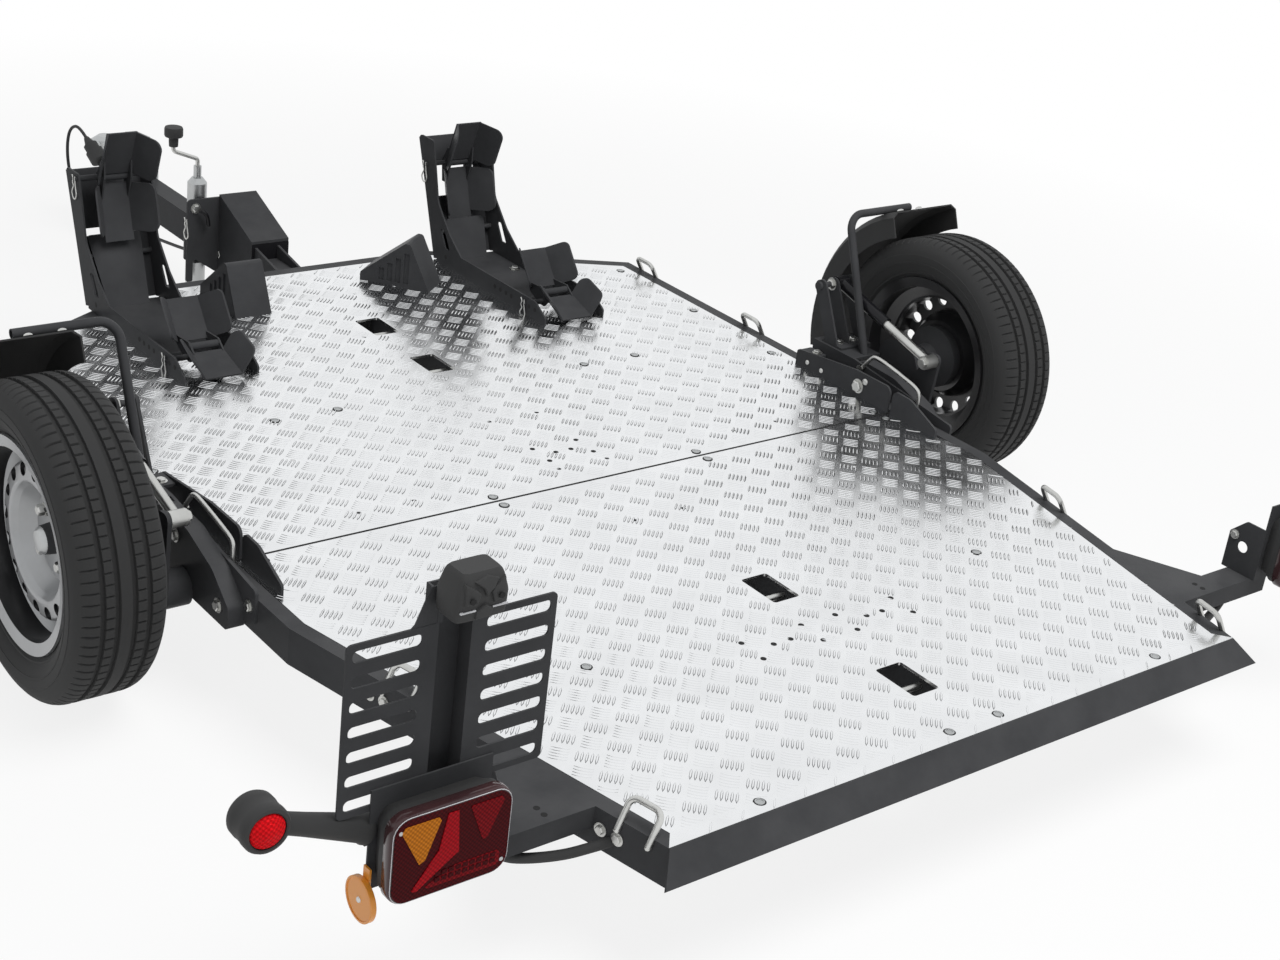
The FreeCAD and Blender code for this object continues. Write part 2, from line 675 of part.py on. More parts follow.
def swing_arm_right():
    """The pivot tube, the arm plate up to the hub, the stub axle and the lever for the shock."""
    start = HOUSING_X + SEAT_GAP
    tube = cylinder(V(start, ARM_PIVOT_Y, ARM_PIVOT_Z), X_AXIS, PIVOT_TUBE_R, ARM_X - start)
    low = cylinder(V(ARM_X, ARM_PIVOT_Y, ARM_PIVOT_Z), X_AXIS, ARM_LOW_R, ARM_THICK)
    high = cylinder(V(ARM_X, WHEEL_Y, AXLE_Z), X_AXIS, ARM_HIGH_R, ARM_THICK)
    dy = WHEEL_Y - ARM_PIVOT_Y
    dz = AXLE_Z - ARM_PIVOT_Z
    span = math.hypot(dy, dz)
    ny = -dz / span
    nz = dy / span
    strip = [(ARM_PIVOT_Y + ny * ARM_LOW_R, ARM_PIVOT_Z + nz * ARM_LOW_R)]
    strip.append((ARM_PIVOT_Y - ny * ARM_LOW_R, ARM_PIVOT_Z - nz * ARM_LOW_R))
    strip.append((WHEEL_Y - ny * ARM_HIGH_R, AXLE_Z - nz * ARM_HIGH_R))
    strip.append((WHEEL_Y + ny * ARM_HIGH_R, AXLE_Z + nz * ARM_HIGH_R))
    web = side_plate(strip, ARM_X, ARM_THICK)
    lever = [(ARM_PIVOT_Y - ARM_LOW_R + 6, ARM_PIVOT_Z), (ARM_PIVOT_Y + ARM_LOW_R - 6, ARM_PIVOT_Z + 30)]
    lever = lever + [(SHOCK_LOW_Y + 20, SHOCK_LOW_Z + 12), (SHOCK_LOW_Y - 16, SHOCK_LOW_Z + 16)]
    lever_x = SHOCK_X + SHOCK_EYE_R + SEAT_GAP
    lever_plate = side_plate(lever, lever_x, ARM_X - lever_x + 1, [0, 0, 15, 15])
    stub = cylinder(V(ARM_X, WHEEL_Y, AXLE_Z), X_AXIS, STUB_R, HALF_TRACK - ARM_X)
    arm = fuse([tube, low, high, web, lever_plate, stub])
    bore = cylinder(V(start - 1, ARM_PIVOT_Y, ARM_PIVOT_Z), X_AXIS, PIVOT_PIN_R + SEAT_GAP, ARM_X + ARM_THICK - start + 2)
    return arm.cut(bore)


def shock_axis():
    """Unit vector from the upper to the lower end of the shock absorber."""
    axis = V(0, SHOCK_LOW_Y - SHOCK_TOP_Y, SHOCK_LOW_Z - SHOCK_TOP_Z)
    axis.normalize()
    return axis


def shock_body_right():
    """The upper tube of the shock absorber with its eye."""
    axis = shock_axis()
    top = V(SHOCK_X, SHOCK_TOP_Y, SHOCK_TOP_Z)
    start = V(SHOCK_X - SHOCK_EYE_R, SHOCK_TOP_Y, SHOCK_TOP_Z)
    eye = cylinder(start, X_AXIS, SHOCK_EYE_R, 2 * SHOCK_EYE_R)
    tube = cylinder(top + axis * (SHOCK_EYE_R * 0.6), axis, SHOCK_BODY_R, SHOCK_BODY_LENGTH)
    body = fuse([eye, tube])
    bore = cylinder(top + axis * 30, axis, SHOCK_ROD_R + SEAT_GAP, 2 * SHOCK_BODY_LENGTH)
    pin = cylinder(start, X_AXIS, SHOCK_PIN_R + SEAT_GAP, 2 * SHOCK_EYE_R)
    return body.cut(bore).cut(pin)


def shock_rod_right():
    """The lower part of the shock absorber, ending in an eye with its bolt."""
    axis = shock_axis()
    low = V(SHOCK_X, SHOCK_LOW_Y, SHOCK_LOW_Z)
    start = V(SHOCK_X - SHOCK_EYE_R, SHOCK_LOW_Y, SHOCK_LOW_Z)
    eye = cylinder(start, X_AXIS, SHOCK_EYE_R, 2 * SHOCK_EYE_R)
    head = cylinder(start - V(8, 0, 0), X_AXIS, SHOCK_PIN_R + 3, 9.0)
    length = V(0, SHOCK_LOW_Y - SHOCK_TOP_Y, SHOCK_LOW_Z - SHOCK_TOP_Z).Length
    piston = cylinder(low, axis * -1, SHOCK_ROD_R, length - 75.0)
    return fuse([eye, head, piston])


def tyre_right():
    """The tyre, round shouldered, seated on the rim."""
    w = TYRE_WIDTH / 2
    r = TYRE_R
    bead = RIM_FLANGE_R - 17.0
    inner = RIM_WIDTH / 2 - RIM_SHEET
    side = [(bead, inner - 14), (bead, inner), (RIM_FLANGE_R + 2, inner + 4), (r - 55, w), (r - 20, w), (r, w - 22)]
    back = [(a, -b) for a, b in reversed(side)]
    hollow = [(bead + 8, -inner + 14), (r - 50, -w + 12), (r - 14, -w + 34), (r - 14, w - 34), (r - 50, w - 12), (bead + 8, inner - 14)]
    radii = [0, 0, 0, 30, 18, 24]
    return turned(side + back + hollow, HUB_CENTRE, 0.0, 360.0, radii + radii[::-1] + [0] * 6)


def rim_right():
    """The barrel of the pressed steel wheel with its two flanges."""
    w = RIM_WIDTH / 2
    f = RIM_FLANGE_R
    t = RIM_SHEET
    outer = [(f, -w), (f - 17, -w + t), (f - 20, -w + 30), (f - 42, -w + 45), (f - 42, w - 60), (f - 20, w - 40), (f - 17, w - t), (f, w)]
    inner = [(f - 1, w + t), (f - 22, w), (f - 25, w - 40), (f - 47, w - 62), (f - 47, -w + 47), (f - 25, -w + 32), (f - 22, -w), (f - 1, -w - t)]
    return turned(outer + inner, HUB_CENTRE)


def wheel_disc_right():
    """The dished disc of the wheel: a flange in the barrel, a raised crest with round holes, the bolt face."""
    f = RIM_FLANGE_R
    seat = RIM_WIDTH / 2 - 60
    edge = f - 47 - SEAT_GAP
    crest = RIM_HOLE_PITCH_R - 20
    face = [(edge, seat - 16), (edge, seat - 3), (f - 51, seat + 30), (crest, seat + 34)]
    face = face + [(crest - 9, seat + 22), (crest - 24, seat - 4), (BOLT_FACE_R, seat - 4)]
    back = [(BOLT_FACE_R, seat - 10), (crest - 20, seat - 10), (crest - 5, seat + 15), (crest - 2, seat + 28)]
    back = back + [(f - 56, seat + 24), (edge - 5, seat - 4), (edge - 5, seat - 16)]
    disc = turned(face + back, HUB_CENTRE, 0.0, 360.0, [0, 0, 8, 8, 0, 0, 0, 0, 0, 0, 0, 0, 0, 0])
    tools = []
    for i in range(RIM_HOLES):
        angle = 2 * math.pi * i / RIM_HOLES
        y = WHEEL_Y + RIM_HOLE_PITCH_R * math.cos(angle)
        z = AXLE_Z + RIM_HOLE_PITCH_R * math.sin(angle)
        tools.append(cylinder(V(HALF_TRACK, y, z), X_AXIS, RIM_HOLE_R, RIM_WIDTH))
    return disc.cut(Part.makeCompound(tools))


def hub_right():
    """The bearing hub and its cap, turning with the wheel on the stub axle."""
    seat = RIM_WIDTH / 2 - 70 - SEAT_GAP
    start = ARM_THICK + ARM_X + RUNNING_GAP - HALF_TRACK
    bore = STUB_R + SEAT_GAP
    ribbed = [(bore, start)]
    pitch = (seat - 45 - start) / HUB_RIBS
    for i in range(HUB_RIBS):
        x = start + i * pitch
        ribbed = ribbed + [(HUB_R + 3, x), (HUB_R + 3, x + 0.6 * pitch), (HUB_R, x + 0.6 * pitch), (HUB_R, x + pitch)]
    profile = ribbed + [(HUB_R + 6, seat - 34), (HUB_FLANGE_R, seat - 20), (HUB_FLANGE_R, seat), (CAP_R + 4, seat)]
    profile = profile + [(CAP_R, seat + 30), (CAP_R - 8, seat + 38), (0, seat + 38), (0, 1.0), (bore, 1.0)]
    return turned(profile, HUB_CENTRE)


def mudguard_right():
    """A quarter of a ring over the front of the wheel, with short side lips."""
    w = GUARD_WIDTH / 2
    r = GUARD_R
    t = GUARD_THICK
    outer = [(r - GUARD_LIP, -w), (r - 12, -w), (r, -w + 14), (r, w - 14), (r - 12, w), (r - GUARD_LIP, w)]
    inner = [(r - GUARD_LIP, w - t), (r - 13, w - t), (r - t, w - 16), (r - t, -w + 16), (r - 13, -w + t), (r - GUARD_LIP, -w + t)]
    return turned(outer + inner, HUB_CENTRE, GUARD_START, GUARD_SWEEP)


def mudguard_stay_right():
    """The bent tube from the bracket shelf up and across the top of the mudguard."""
    angle = math.radians(GUARD_START + GUARD_SWEEP - 8)
    reach = GUARD_R + STAY_R + SEAT_GAP
    top_y = WHEEL_Y + reach * math.cos(angle)
    top_z = AXLE_Z + reach * math.sin(angle)
    base = V(STAY_X, STAY_BASE_Y, FRAME_TOP + SHELF_RISE)
    elbow = V(STAY_X, top_y, top_z)
    below = base - (elbow - base) * 0.1
    tube = bent_bar([below, elbow, V(HALF_TRACK, top_y, top_z)], STAY_R, 36.0, STAY_WALL)
    keep = block(0, 2 * HALF_TRACK, 0, FRAME_LENGTH, base.z, 2 * top_z)
    return tube.common(keep)


# Drawbar group

def drawbar():
    """The box section that runs forward from the platform."""
    y0 = FRAME_LENGTH
    top = DRAWBAR_BOTTOM + DRAWBAR_HEIGHT
    outer = block(-DRAWBAR_HALF, DRAWBAR_HALF, y0, DRAWBAR_END, DRAWBAR_BOTTOM, top)
    w = DRAWBAR_WALL
    inner = block(-DRAWBAR_HALF + w, DRAWBAR_HALF - w, y0, DRAWBAR_END, DRAWBAR_BOTTOM + w, top - w)
    return outer.cut(inner)


def drawbar_bracket():
    """Two long plates that clasp the drawbar at the front of the platform."""
    top = DRAWBAR_BOTTOM + DRAWBAR_HEIGHT
    y0 = FRAME_LENGTH
    y1 = FRAME_LENGTH + BRACKET_LENGTH
    profile = [(y0, DRAWBAR_BOTTOM - 12), (y1 - 60, DRAWBAR_BOTTOM - 12), (y1, DRAWBAR_BOTTOM + 10)]
    profile = profile + [(y1, top + 8), (y0 + 120, top + 34), (y0, top + 12)]
    plates = []
    for x in (-DRAWBAR_HALF - BRACKET_PLATE, DRAWBAR_HALF):
        plates.append(side_plate(profile, x, BRACKET_PLATE, 8.0))
    return Part.makeCompound(plates)


def cover_box():
    """The folded sheet cover beside the drawbar bracket: sloping top, open below."""
    rear_top = COVER_TOP - COVER_SLOPE
    low = DRAWBAR_BOTTOM - 10
    x0 = COVER_LEFT
    x1 = COVER_RIGHT
    profile = [(COVER_REAR_Y, low), (COVER_REAR_Y, rear_top), (COVER_FRONT_Y, COVER_TOP), (COVER_FRONT_Y, low)]
    s = COVER_SHEET
    body = side_plate(profile, x0, x1 - x0)
    inside = [(COVER_REAR_Y + s, low), (COVER_REAR_Y + s, rear_top - s), (COVER_FRONT_Y - s, COVER_TOP - s)]
    inside = inside + [(COVER_FRONT_Y - s, low)]
    body = body.cut(side_plate(inside, x0 + s, x1 - x0 - 2 * s))
    bar = DRAWBAR_HALF + BRACKET_PLATE + SEAT_GAP
    way = block(-bar, bar, COVER_REAR_Y - 10, COVER_FRONT_Y + 10, 0, DRAWBAR_BOTTOM + DRAWBAR_HEIGHT + 36)
    return body.cut(way)


def jack_bracket():
    """The cross plate that carries the jack, with its clamp collar and the gland of the supply cable."""
    top = COVER_TOP - 7
    left = JACK_PLATE_LEFT
    right = -DRAWBAR_HALF - BRACKET_PLATE
    y = COVER_FRONT_Y + SEAT_GAP
    profile = [(right, DRAWBAR_BOTTOM - 14), (right, top), (left, top), (left, DRAWBAR_BOTTOM - 22)]
    profile = profile + [(left + 16, DRAWBAR_BOTTOM - 22), (left + 16, DRAWBAR_BOTTOM + 36)]
    plate = cross_plate(profile, y, BRACKET_PLATE, [0, 6, 10, 4, 4, 6])
    collar_z = DRAWBAR_BOTTOM + 20
    collar = cylinder(V(JACK_X, JACK_Y, collar_z), Z_AXIS, JACK_R + 6, 60.0)
    link = block(JACK_X - 20, right, y + BRACKET_PLATE - 1, JACK_Y, collar_z, collar_z + 60)
    bore = cylinder(V(JACK_X, JACK_Y, 0), Z_AXIS, JACK_R, JACK_TOP)
    exit_x, exit_y, exit_z = CABLE_ROUTE[0]
    gland = cylinder(V(exit_x, y + 1, exit_z), Y_AXIS, GLAND_R, exit_y - y - 1)
    return fuse([plate, collar, link, gland]).cut(bore)


def jack_tube():
    """The outer tube of the jack, with a shoulder and the spindle neck."""
    shoulder = 12.0
    tube = cylinder(V(JACK_X, JACK_Y, JACK_TUBE_BOTTOM), Z_AXIS, JACK_R, JACK_TOP - shoulder - JACK_TUBE_BOTTOM)
    bore = cylinder(V(JACK_X, JACK_Y, JACK_TUBE_BOTTOM), Z_AXIS, JACK_R - JACK_WALL, JACK_TOP - JACK_TUBE_BOTTOM - 2 * shoulder)
    cone = Part.makeCone(JACK_R, NECK_R + 4, shoulder, V(JACK_X, JACK_Y, JACK_TOP - shoulder))
    neck = cylinder(V(JACK_X, JACK_Y, JACK_TOP), Z_AXIS, NECK_R, NECK_HEIGHT)
    return fuse([tube.cut(bore), cone, neck])


def jack_leg():
    """The inner tube that slides down to the ground on a round foot."""
    leg = cylinder(V(JACK_X, JACK_Y, FOOT_THICK), Z_AXIS, LEG_R, LEG_TOP - FOOT_THICK)
    foot = cylinder(V(JACK_X, JACK_Y, 0), Z_AXIS, FOOT_R, FOOT_THICK)
    return fuse([leg, foot])


def jack_crank():
    """The cranked handle with its knob."""
    z0 = JACK_TOP + NECK_HEIGHT + SEAT_GAP
    x1 = JACK_X - CRANK_OFFSET
    z1 = z0 + CRANK_RISE
    points = [V(JACK_X, JACK_Y, z0), V(JACK_X, JACK_Y, z0 + 16), V(x1, JACK_Y, z1), V(x1, JACK_Y, z1 + 40)]
    handle = bent_bar(points, CRANK_R, 10.0)
    grip = cylinder(V(x1, JACK_Y, z1 + 14), Z_AXIS, KNOB_R / 2, 24.0)
    cap = cylinder(V(x1, JACK_Y, z1 + 36), Z_AXIS, KNOB_R, 20.0)
    return fuse([handle, grip, cap])


def coupling_head():
    """The ball coupling: a pressed shell that narrows from the drawbar to a round nose."""
    y0 = DRAWBAR_END - COUPLING_OVERLAP
    top = DRAWBAR_BOTTOM + DRAWBAR_HEIGHT
    ball = V(0, BALL_Y, top - 6)
    wide = DRAWBAR_HALF + 8
    saddle = block(-wide, wide, y0, DRAWBAR_END + CHEEK_REACH, top, top + 28)
    cheeks = [block(s, s + 8, y0, DRAWBAR_END + CHEEK_REACH, top - 40, top + 28) for s in (-wide, DRAWBAR_HALF)]
    neck = side_plate([(DRAWBAR_END, top - 20), (ball.y, top - 20), (ball.y, top + 34), (DRAWBAR_END + 34, top + 40), (DRAWBAR_END, top + 26)], -DRAWBAR_HALF, 2 * DRAWBAR_HALF)
    nose = cylinder(V(0, ball.y, top - 30), Z_AXIS, NOSE_R, 60.0)
    dome = Part.makeCone(NOSE_R, NOSE_R / 2, 14.0, V(0, ball.y, top + 30))
    body = fuse([saddle] + cheeks + [neck, nose, dome])
    socket = Part.makeSphere(BALL_R + SOCKET_GAP, ball)
    mouth = cylinder(V(0, ball.y, top - 60), Z_AXIS, BALL_R + SOCKET_GAP, 54.0)
    grip = [(DRAWBAR_END - 40, top + 24), (DRAWBAR_END + 50, top + 34), (DRAWBAR_END + 40, top + 74), (DRAWBAR_END, top + 98)]
    grip = grip + [(DRAWBAR_END - 84, top + 106), (DRAWBAR_END - 86, top + 94), (DRAWBAR_END - 20, top + 70)]
    handle = side_plate(grip, -14.0, 28.0, [0, 4, 10, 12, 5, 5, 10])
    return fuse([body, handle]).cut(fuse([socket, mouth]))


def supply_cable():
    """The supply cable that sags under the drawbar, from its gland to its plug."""
    return cord_tube([V(x, y, z) for x, y, z in CABLE_ROUTE], CABLE_R)


def plug_way():
    """Where the plug starts, and the direction in which it points."""
    points = [V(x, y, z) for x, y, z in CABLE_ROUTE[-2:]]
    way = points[1] - points[0]
    way.normalize()
    return points[1], way


def supply_plug():
    """The round plug on the supply cable."""
    start, way = plug_way()
    tail = Part.makeCone(CABLE_R + 2, PLUG_R - 4, PLUG_LENGTH / 3, start, way)
    body = cylinder(start + way * (PLUG_LENGTH / 3), way, PLUG_R, PLUG_LENGTH * 2 / 3)
    return fuse([tail, body])


def plug_cup():
    """The cup beside the coupling that the plug is parked in, on its arm."""
    start, way = plug_way()
    end = start + way * PLUG_LENGTH
    cup = cylinder(end - way * CUP_DEPTH, way, PLUG_R + SEAT_GAP + CUP_WALL, CUP_DEPTH + SEAT_GAP + CUP_WALL)
    arm_y = DRAWBAR_END + CHEEK_REACH + SEAT_GAP
    arm = block(end.x, -DRAWBAR_HALF - SEAT_GAP, arm_y, arm_y + 14, end.z - 16, end.z - 2)
    hollow = cylinder(end - way * 2 * PLUG_LENGTH, way, PLUG_R + SEAT_GAP, 2 * PLUG_LENGTH + SEAT_GAP)
    return fuse([cup, arm]).cut(hollow)


# Lamps

def lamp_arm_right():
    """The box section that carries the lamps, with the gusset plate ahead of it."""
    y0 = ARM_Y - ARM_WIDTH / 2
    y1 = ARM_Y + ARM_WIDTH / 2
    z1 = FRAME_TOP
    z0 = z1 - ARM_HEIGHT
    w = ARM_WALL
    outer = block(0, ARM_END, y0, y1, z0, z1)
    inner = block(0, ARM_END - w, y0 + w, y1 - w, z0 + w, z1 - w)
    corners = [V(0, y1 - 1, z1 - w), V(half_width(y1) + GUSSET_REACH, y1 - 1, z1 - w)]
    corners = corners + [V(half_width(y1 + GUSSET_LENGTH), y1 + GUSSET_LENGTH, z1 - w), V(0, y1 + GUSSET_LENGTH, z1 - w)]
    gusset = sheet(corners, V(0, 0, w))
    return fuse([outer.cut(inner), gusset]).cut(platform_prism(0.0, 0.0, 2 * FRAME_TOP))


def lamp_bracket_right():
    """The folded plate that holds the lamp: a back plate and an upright on the arm."""
    x0 = LAMP_INNER
    x1 = LAMP_INNER + LAMP_WIDTH
    z0 = FRAME_TOP
    y = LAMP_BACK_Y
    back = block(x0, x1, y, y + LAMP_PLATE, z0, LAMP_BOTTOM + LAMP_HEIGHT - 10)
    far = y + UPRIGHT_DEPTH
    high = z0 + UPRIGHT_RISE
    upright = [(y, z0), (far, z0), (far, high - 30), (far - 30, high), (y, high)]
    plate = side_plate(upright, x0, LAMP_PLATE, [0, 0, 6, 8, 0])
    hole = cylinder(V(x0 - 5, y + 0.55 * UPRIGHT_DEPTH, z0 + 0.5 * UPRIGHT_RISE), X_AXIS, UPRIGHT_HOLE_R, 20.0)
    return fuse([back, plate.cut(hole)])


def tail_lamp_right():
    """The rear lamp housing with rounded corners."""
    x0 = LAMP_INNER
    x1 = x0 + LAMP_WIDTH
    z0 = LAMP_BOTTOM
    z1 = z0 + LAMP_HEIGHT
    return cross_plate([(x0, z0), (x1, z0), (x1, z1), (x0, z1)], LAMP_BACK_Y - LAMP_DEPTH, LAMP_DEPTH, LAMP_CORNER)


def marker_lamp_right():
    """The outline marker: a round lamp on a rubber stalk."""
    x1 = LAMP_INNER + LAMP_WIDTH
    plate_y = LAMP_BACK_Y + LAMP_PLATE
    foot = V(x1, plate_y + STALK_R, LAMP_BOTTOM + LAMP_HEIGHT / 2 - 3)
    centre = foot + V(MARKER_REACH, 0, MARKER_RISE)
    head = cylinder(centre - V(0, MARKER_DEPTH / 2, 0), Y_AXIS, MARKER_R, MARKER_DEPTH)
    line = centre - foot
    stalk = Part.makeCone(STALK_R, STALK_R - 4, line.Length, foot, line)
    base = block(x1 - 40, x1 + 4, plate_y, plate_y + 2 * STALK_R, foot.z - 16, foot.z + 16)
    return fuse([head, stalk, base])


def side_reflector_right():
    """The round amber reflector at the end of the bracket."""
    x = LAMP_INNER + LAMP_WIDTH
    y = LAMP_BACK_Y
    tab = block(x, x + 3, y - 12, y + LAMP_PLATE, FRAME_TOP - REFLECTOR_R, FRAME_TOP + 40)
    disc = cylinder(V(x + 3, y - 2, FRAME_TOP - REFLECTOR_DROP), X_AXIS, REFLECTOR_R, 7.0)
    return fuse([tab, disc])


def plate_holder():
    """Two slotted wings on a channel post for the number plate."""
    y = LAMP_BACK_Y + LAMP_PLATE
    z0 = HOLDER_BOTTOM
    z1 = z0 + HOLDER_HEIGHT
    half = POST_WIDTH / 2
    s = HOLDER_SHEET
    pieces = []
    for side in (-1, 1):
        a = HOLDER_X + side * (half - s)
        b = HOLDER_X + side * (half + WING_WIDTH)
        wing = cross_plate([(a, z0), (b, z0), (b, z1), (a, z1)], y, s, [0, 8, 8, 0])
        pitch = HOLDER_HEIGHT / SLOTS
        for i in range(SLOTS):
            zc = z0 + pitch * (i + 0.5)
            s0 = HOLDER_X + side * (half + 20)
            s1 = HOLDER_X + side * (half + WING_WIDTH - 9)
            corners = [(s0, zc - SLOT_HEIGHT / 2), (s1, zc - SLOT_HEIGHT / 2), (s1, zc + SLOT_HEIGHT / 2), (s0, zc + SLOT_HEIGHT / 2)]
            wing = wing.cut(cross_plate(corners, y - 5, s + 10, SLOT_HEIGHT * 0.44))
        pieces.append(wing)
        wall_x = HOLDER_X + side * half - s * (1 + side) / 2
        pieces.append(block(wall_x, wall_x + s, y, y + POST_DEPTH, z0 - POST_DROP, z1 + POST_DROP))
    web = block(HOLDER_X - half, HOLDER_X + half, y + POST_DEPTH - s, y + POST_DEPTH, z0 - POST_DROP, z1 + POST_DROP)
    return fuse(pieces + [web])


def plate_lamp():
    """The faceted lamp over the number plate."""
    z0 = HOLDER_BOTTOM + HOLDER_HEIGHT + SEAT_GAP
    y1 = LAMP_BACK_Y + LAMP_PLATE
    half = PLATE_LAMP_WIDTH / 2
    z1 = z0 + 0.26 * PLATE_LAMP_HEIGHT
    z2 = z0 + PLATE_LAMP_HEIGHT
    low = [V(HOLDER_X - half, y1 - 23, z0), V(HOLDER_X + half, y1 - 23, z0), V(HOLDER_X + half, y1, z0), V(HOLDER_X - half, y1, z0)]
    wide = [V(HOLDER_X - half, y1 - PLATE_LAMP_DEPTH, z1), V(HOLDER_X + half, y1 - PLATE_LAMP_DEPTH, z1)]
    wide = wide + [V(HOLDER_X + half, y1, z1), V(HOLDER_X - half, y1, z1)]
    top = [V(HOLDER_X - half + 12, y1 - 39, z2), V(HOLDER_X + half - 12, y1 - 39, z2)]
    top = top + [V(HOLDER_X + half - 8, y1, z2 - 6), V(HOLDER_X - half + 8, y1, z2 - 6)]
    wires = [Part.makePolygon(p + [p[0]]) for p in (low, wide, top)]
    return Part.makeLoft(wires, True, True)


def jaw_points(place):
    """The middle line of the jaw set at (along, up): lower panel, upper panel and rod."""
    y = JAW_Y + place[0]
    z = DECK_TOP + JAW_LOW + place[1]
    low = V(0, y, z)
    bend = V(0, y + 0.29 * JAW_PANEL, z + 0.96 * JAW_PANEL)
    start = V(0, y + 0.15 * JAW_PANEL, z + 1.2 * JAW_PANEL)
    high = V(0, y - 0.17 * JAW_PANEL, z + 2.13 * JAW_PANEL)
    pin = V(0, y + 0.26 * JAW_PANEL, z + 1.12 * JAW_PANEL)
    return low, bend, start, high, pin


# Motorcycle chocks

def chock_stand(place):
    """The channel base, the leaning tower with its side plates, its back plate and the rod for the jaw."""
    x0 = CHOCK_X - CHOCK_HALF
    x1 = CHOCK_X + CHOCK_HALF
    z = DECK_TOP
    s = CHOCK_SHEET
    floor = block(x0, x1, CHOCK_FLOOR_Y, CHOCK_FRONT_Y - 13, z, z + s)
    rail = [(CHOCK_REAR_Y, z), (CHOCK_FRONT_Y - 13, z), (CHOCK_FRONT_Y - 13, z + CHOCK_RAIL), (CHOCK_REAR_Y + 44, z + CHOCK_RAIL)]
    rail = rail + [(CHOCK_REAR_Y, z + CHOCK_RAIL - 26)]
    journal = cylinder(V(x0 - 1, CRADLE_PIVOT_Y, z + CRADLE_PIVOT_Z), X_AXIS, PIN_R + SEAT_GAP, x1 - x0 + 2)
    top_z = z + TOWER_HEIGHT
    top_y = CHOCK_FRONT_Y + TOWER_LEAN
    tower = [(CHOCK_FRONT_Y - 120, z + CHOCK_RAIL - 6), (CHOCK_FRONT_Y, z + 2), (top_y, top_z), (top_y - TOWER_TOP_WIDTH, top_z)]
    tower = tower + [(CHOCK_FRONT_Y, z + 0.5 * TOWER_HEIGHT), (CHOCK_FRONT_Y - 58, z + 0.28 * TOWER_HEIGHT)]
    slot = [(CHOCK_FRONT_Y - 66, z + 38), (CHOCK_FRONT_Y - 48, z + 34), (CHOCK_FRONT_Y - 18, z + 82), (CHOCK_FRONT_Y - 36, z + 84)]
    low, bend, start, high, pin = jaw_points(place)
    pieces = [floor]
    for x in (x0, x1 - s):
        upright = side_plate(tower, x, s, [0, 0, 10, 8, 40, 60]).cut(side_plate(slot, x - 1, s + 2, 8.0))
        pieces.append(fuse([side_plate(rail, x, s, [0, 0, 0, 12, 6]), upright]).cut(journal))
    web_share = WEB_SHARE
    if CHOCK_FRONT_Y + web_share * TOWER_LEAN < bend.y:
        web_share = (bend.z + WEB_CLEAR - z) / TOWER_HEIGHT
    web_y = CHOCK_FRONT_Y + web_share * TOWER_LEAN
    web_z = z + web_share * TOWER_HEIGHT
    web = [V(x0, web_y, web_z), V(x1, web_y, web_z)]
    web = web + [V(x1, top_y - 2, top_z - 8), V(x0, top_y - 2, top_z - 8)]
    pieces.append(sheet(web, V(0, -s, 0)))
    back_y = CHOCK_FRONT_Y - 38
    back_z = z + s - 1
    rise = low.z - 12 - back_z
    lean = V(0, 0.6 * rise, rise)
    back = [V(CHOCK_X - BACK_BOTTOM_HALF, back_y, back_z), V(CHOCK_X + BACK_BOTTOM_HALF, back_y, back_z)]
    back = back + [V(CHOCK_X + BACK_TOP_HALF, back_y, back_z) + lean, V(CHOCK_X - BACK_TOP_HALF, back_y, back_z) + lean]
    pieces.append(sheet(back, V(0, s, 0), [0, 0, 8, 8]))
    brace_z = back_z + 0.7 * rise
    brace_y = back_y + 0.6 * 0.7 * rise + s + PIN_R - 1
    pieces.append(cylinder(V(x0, brace_y, brace_z), X_AXIS, PIN_R, x1 - x0))
    pieces.append(cylinder(V(x0 - PIN_PROUD, pin.y, pin.z), X_AXIS, PIN_R, x1 - x0 + 2 * PIN_PROUD))
    return fuse(pieces)


def cheeked(low, high, half_low, half_high, out, sheet_thick, corner, tongue=0.0):
    """A folded seat for a wheel: a middle strip, longer by the tongue, and cheeks pushed out (across, along, up)."""
    run = high - low
    normal = V(0, -run.z, run.y)
    normal.normalize()
    if normal.z < 0:
        normal = normal * -1
    foot = low - run * tongue
    middle = [V(CHOCK_X - half_low, foot.y, foot.z), V(CHOCK_X + half_low, foot.y, foot.z)]
    middle = middle + [V(CHOCK_X + half_high, high.y, high.z), V(CHOCK_X - half_high, high.y, high.z)]
    parts = [sheet(middle, normal * sheet_thick)]
    for side in (-1, 1):
        inner_low = V(CHOCK_X + side * half_low, low.y, low.z)
        inner_high = V(CHOCK_X + side * half_high, high.y, high.z)
        push = V(side * out[0], out[1], out[2])
        corners = [inner_low, inner_high, inner_high + push, inner_low + push]
        parts.append(sheet(corners, V(-side * sheet_thick, 0, 0), [0, 0, corner, corner]))
    return fuse(parts)


